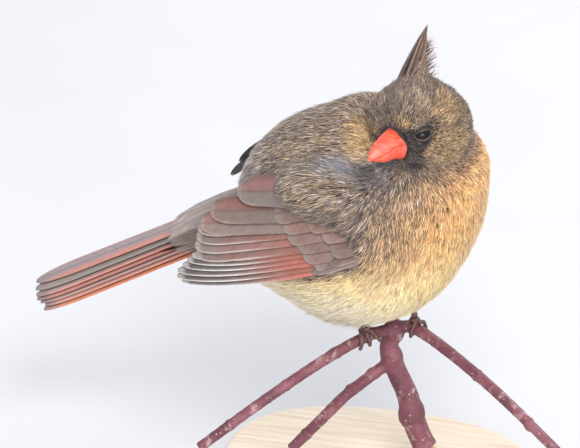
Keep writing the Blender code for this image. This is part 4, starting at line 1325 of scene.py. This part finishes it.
def make_floor(material):
    """A wide flat floor just under the base, in eleven strips."""
    vertices = np.array([(x, y, -0.2 * MM) for x in (-3, 3) for y in np.linspace(-3, 6, 12)])
    faces = np.array([(i + 12, i + 13, i + 1, i) for i in range(11)])
    floor = link_mesh("floor", vertices, faces)
    floor.data.materials.append(material)


# Materials


def srgb(red, green, blue):
    """A colour as it looks on a screen, from 0 to 255, as linear numbers."""
    values = np.array([red, green, blue]) / 255
    return tuple(np.where(values <= 0.04045, values / 12.92, ((values + 0.055) / 1.055) ** 2.4))


class Nodes:
    """A short way to wire a material. Values are sockets or plain numbers."""

    def __init__(self, name):
        self.material = bpy.data.materials.new(name)
        self.material.use_nodes = True
        self.tree = self.material.node_tree
        self.shader = self.tree.nodes["Principled BSDF"]

    def put(self, value, socket):
        """A wire or a plain value into a socket."""
        if hasattr(value, "node"):
            self.tree.links.new(value, socket)
        else:
            socket.default_value = value

    def add(self, kind, **values):
        """A node with some of its settings and inputs set."""
        node = self.tree.nodes.new("ShaderNode" + kind)
        for key, value in values.items():
            if hasattr(node, key):
                setattr(node, key, value)
            else:
                self.put(value, node.inputs[key])
        return node

    def painted(self, name):
        """A colour painted on the mesh's points."""
        return self.add("Attribute", attribute_name=name).outputs["Color"]

    def place(self):
        """The object's own coordinates, which are the row frame."""
        return self.add("TexCoord").outputs["Object"]

    def stretched(self, scale, turn=(0, 0, 0)):
        """The object's own coordinates, scaled and turned."""
        return self.add("Mapping", Vector=self.place(), Rotation=turn, Scale=scale).outputs["Vector"]

    def noise(self, scale, detail=3.0, rough=0.5, at=None):
        """Noise at a number of cells per unit of its vector."""
        at = self.place() if at is None else at
        return self.add("TexNoise", Vector=at, Scale=scale, Detail=detail, Roughness=rough).outputs["Fac"]

    def cells(self, scale):
        """Distance to the middle of the nearest of many cells."""
        return self.add("TexVoronoi", Vector=self.place(), Scale=scale).outputs["Distance"]

    def ramp(self, value, *stops):
        """Colours over a value, from (place, colour) stops."""
        node = self.add("ValToRGB", Fac=value)
        for i, (at, colour) in enumerate(stops):
            stop = node.color_ramp.elements[i] if i < 2 else node.color_ramp.elements.new(at)
            stop.position = at
            stop.color = (*colour, 1)
        return node.outputs["Color"]

    def mix(self, factor, first, second, blend="MIX"):
        """Two colours mixed by a factor."""
        node = self.add("Mix", data_type="RGBA", blend_type=blend)
        self.put(factor, node.inputs[0])
        for socket, colour in ((6, first), (7, second)):
            self.put(colour if hasattr(colour, "node") else (*colour, 1), node.inputs[socket])
        return node.outputs[2]

    def math(self, operation, first, second=0.0):
        """One sum."""
        node = self.add("Math", operation=operation)
        self.put(first, node.inputs[0])
        self.put(second, node.inputs[1])
        return node.outputs[0]

    def stain(self, pattern, strength, base, colour):
        """A screen colour multiplied into a base where a pattern is high."""
        return self.mix(self.math("MULTIPLY", pattern, strength), base, srgb(*colour), "MULTIPLY")

    def done(self, colour, relief=None, **values):
        """The material, with its colour, its relief as height, depth and strength, and plain numbers."""
        self.put(colour, self.shader.inputs["Base Color"])
        if relief:
            height, depth, strength = relief
            bump = self.add("Bump", Height=height, Distance=depth, Strength=strength)
            self.put(bump.outputs["Normal"], self.shader.inputs["Normal"])
        for key, value in values.items():
            self.put(value, self.shader.inputs[key.replace("_", " ")])
        return self.material


def plumage_material():
    """Soft feather colour from the painted tint, with fine streaks."""
    n = Nodes("plumage")
    colour = n.stain(n.noise(900), 0.35, n.painted("tint"), (118, 106, 96))
    return n.done(colour, (n.noise(2200, 2), 0.00012, 0.4), Roughness=0.78, Sheen_Weight=0.25,
                  Sheen_Roughness=0.5, Specular_IOR_Level=0.25)


def vane_material():
    """Flight feather colour with barbs drawn out from the shaft."""
    n = Nodes("vanes")
    parts = n.add("SeparateColor", Color=n.painted("lay"))
    along, across, seed = (parts.outputs[k] for k in ("Red", "Green", "Blue"))
    away = n.math("ABSOLUTE", n.math("SUBTRACT", across, 0.5))
    barb = n.math("SUBTRACT", n.math("MULTIPLY", along, 100), n.math("MULTIPLY", away, 26))
    spread = n.add("CombineXYZ", X=n.math("MULTIPLY", barb, 1.3), Y=n.math("MULTIPLY", away, 5.0),
                   Z=n.math("MULTIPLY", seed, 40))
    lines = n.noise(1.0, 3, 0.6, spread.outputs["Vector"])
    shade = n.stain(lines, 0.8, n.painted("tint"), (112, 98, 92))
    worn = n.mix(n.math("MULTIPLY", n.noise(260), 0.16), shade, srgb(186, 172, 162))
    return n.done(worn, (lines, 0.00012, 0.7), Roughness=0.55, Sheen_Weight=0.15, Specular_IOR_Level=0.35)


def horn_material():
    """Orange-red horn with paler streaks along the bill."""
    n = Nodes("horn")
    turn = (0.1, 0.2, math.atan2(HEAD_F[1], HEAD_F[0]))
    streak = n.noise(1.0, 4, 0.6, n.stretched((90, 900, 900), turn))
    base = n.ramp(streak, (0.25, srgb(204, 62, 42)), (0.5, srgb(228, 86, 62)), (0.78, srgb(240, 136, 108)))
    colour = n.stain(n.noise(220), 0.4, base, (240, 120, 90))
    return n.done(colour, (streak, 0.0001, 0.6), Roughness=0.38, Subsurface_Weight=0.12,
                  Subsurface_Scale=0.002, Coat_Weight=0.2, Coat_Roughness=0.25)


def eye_material():
    """Very dark brown, wet and glossy."""
    n = Nodes("eye")
    colour = n.ramp(n.noise(700), (0.3, srgb(10, 8, 8)), (0.7, srgb(26, 20, 18)))
    return n.done(colour, Roughness=0.12, Specular_IOR_Level=0.22)


def lid_material():
    """Bare dark lid skin with small folds."""
    n = Nodes("lid")
    folds = n.noise(1600, 4)
    colour = n.stain(folds, 0.8, n.painted("tint"), (130, 120, 112))
    return n.done(colour, (folds, 0.0002, 0.8), Roughness=0.6)


def leg_material():
    """Dusky red-brown scales."""
    n = Nodes("leg")
    gap = n.cells(1300)
    base = n.ramp(gap, (0.1, srgb(128, 92, 84)), (0.6, srgb(88, 60, 58)))
    return n.done(n.stain(n.noise(500), 0.5, base, (150, 120, 108)), (gap, 0.0002, 0.9), Roughness=0.5)


def bark_material():
    """Wine-red bark with pale lenticels, grey scuffs and dark cracks."""
    n = Nodes("bark")
    black, white = (0, 0, 0), (1, 1, 1)
    broad = n.noise(90, 4)
    base = n.ramp(broad, (0.3, srgb(84, 44, 54)), (0.55, srgb(112, 62, 72)), (0.75, srgb(142, 92, 100)))
    dots = n.ramp(n.cells(620), (0.10, white), (0.22, black))
    dots = n.mix(1.0, dots, n.ramp(n.noise(240, 2), (0.5, black), (0.6, white)), "MULTIPLY")
    scuff = n.ramp(n.noise(150, 5, 0.7), (0.56, black), (0.68, (0.55,) * 3))
    cracks = n.ramp(n.noise(420, 5, 0.7), (0.30, (0.6,) * 3), (0.42, black))
    for mask, colour in ((dots, (206, 172, 150)), (scuff, (196, 176, 168)), (cracks, (58, 34, 38))):
        base = n.mix(mask, base, srgb(*colour))
    return n.done(base, (n.noise(520, 5, 0.65), 0.0006, 0.9), Roughness=0.5, Specular_IOR_Level=0.4)


def wood_material():
    """Pale limed wood with grain along the base."""
    n = Nodes("pale_wood")
    place = n.stretched((28, 420, 420))
    fine = n.noise(5.0, at=place)
    base = n.ramp(n.noise(1.0, 6, 0.62, place), (0.3, srgb(206, 190, 168)), (0.5, srgb(222, 208, 188)),
                  (0.7, srgb(234, 223, 206)))
    return n.done(n.stain(fine, 0.5, base, (206, 186, 160)), (fine, 0.0001, 0.5), Roughness=0.42,
                  Coat_Weight=0.25, Coat_Roughness=0.2)


def metal_material():
    """Brushed brass."""
    n = Nodes("brass")
    rings = n.noise(1.0, at=n.stretched((300, 300, 4000)))
    rough = n.ramp(rings, (0.3, (0.24,) * 3), (0.7, (0.4,) * 3))
    return n.done(n.ramp(rings, (0.3, srgb(176, 142, 84)), (0.7, srgb(214, 184, 122))), Roughness=rough,
                  Metallic=1.0)


def floor_material():
    """A near-white matt floor with a hint of cloud."""
    n = Nodes("floor")
    return n.done(n.ramp(n.noise(9), (0.3, srgb(198, 198, 200)), (0.7, srgb(202, 202, 204))), Roughness=0.9)


COAT_COUNT = 52000

make_camera()
make_light()
feathers = plumage_material()
vanes = vane_material()
skin = make_skin()
paint_points(skin, linear(plumage(points_of(skin)) * 0.8))
finish_piece(skin, "body_plumage", "torso", "neck", "head", material=feathers)
make_coat(skin, COAT_COUNT, feathers)
make_wing(-1, "wing_right", vanes)
make_wing(1, "wing_left", vanes)
make_tail(vanes)
make_tail_coverts(feathers)
make_crest(feathers)
make_crest_hairs(feathers)
make_bristles(feathers)
for side, name in ((1, "eye_left"), (-1, "eye_right")):
    make_ball(side, name, eye_material())
    make_lids(side, name, lid_material())
make_bill(horn_material())
make_foot("right", leg_material())
make_foot("left", leg_material())
make_perch(bark_material())
make_base(wood_material())
make_rod(metal_material())
make_floor(floor_material())
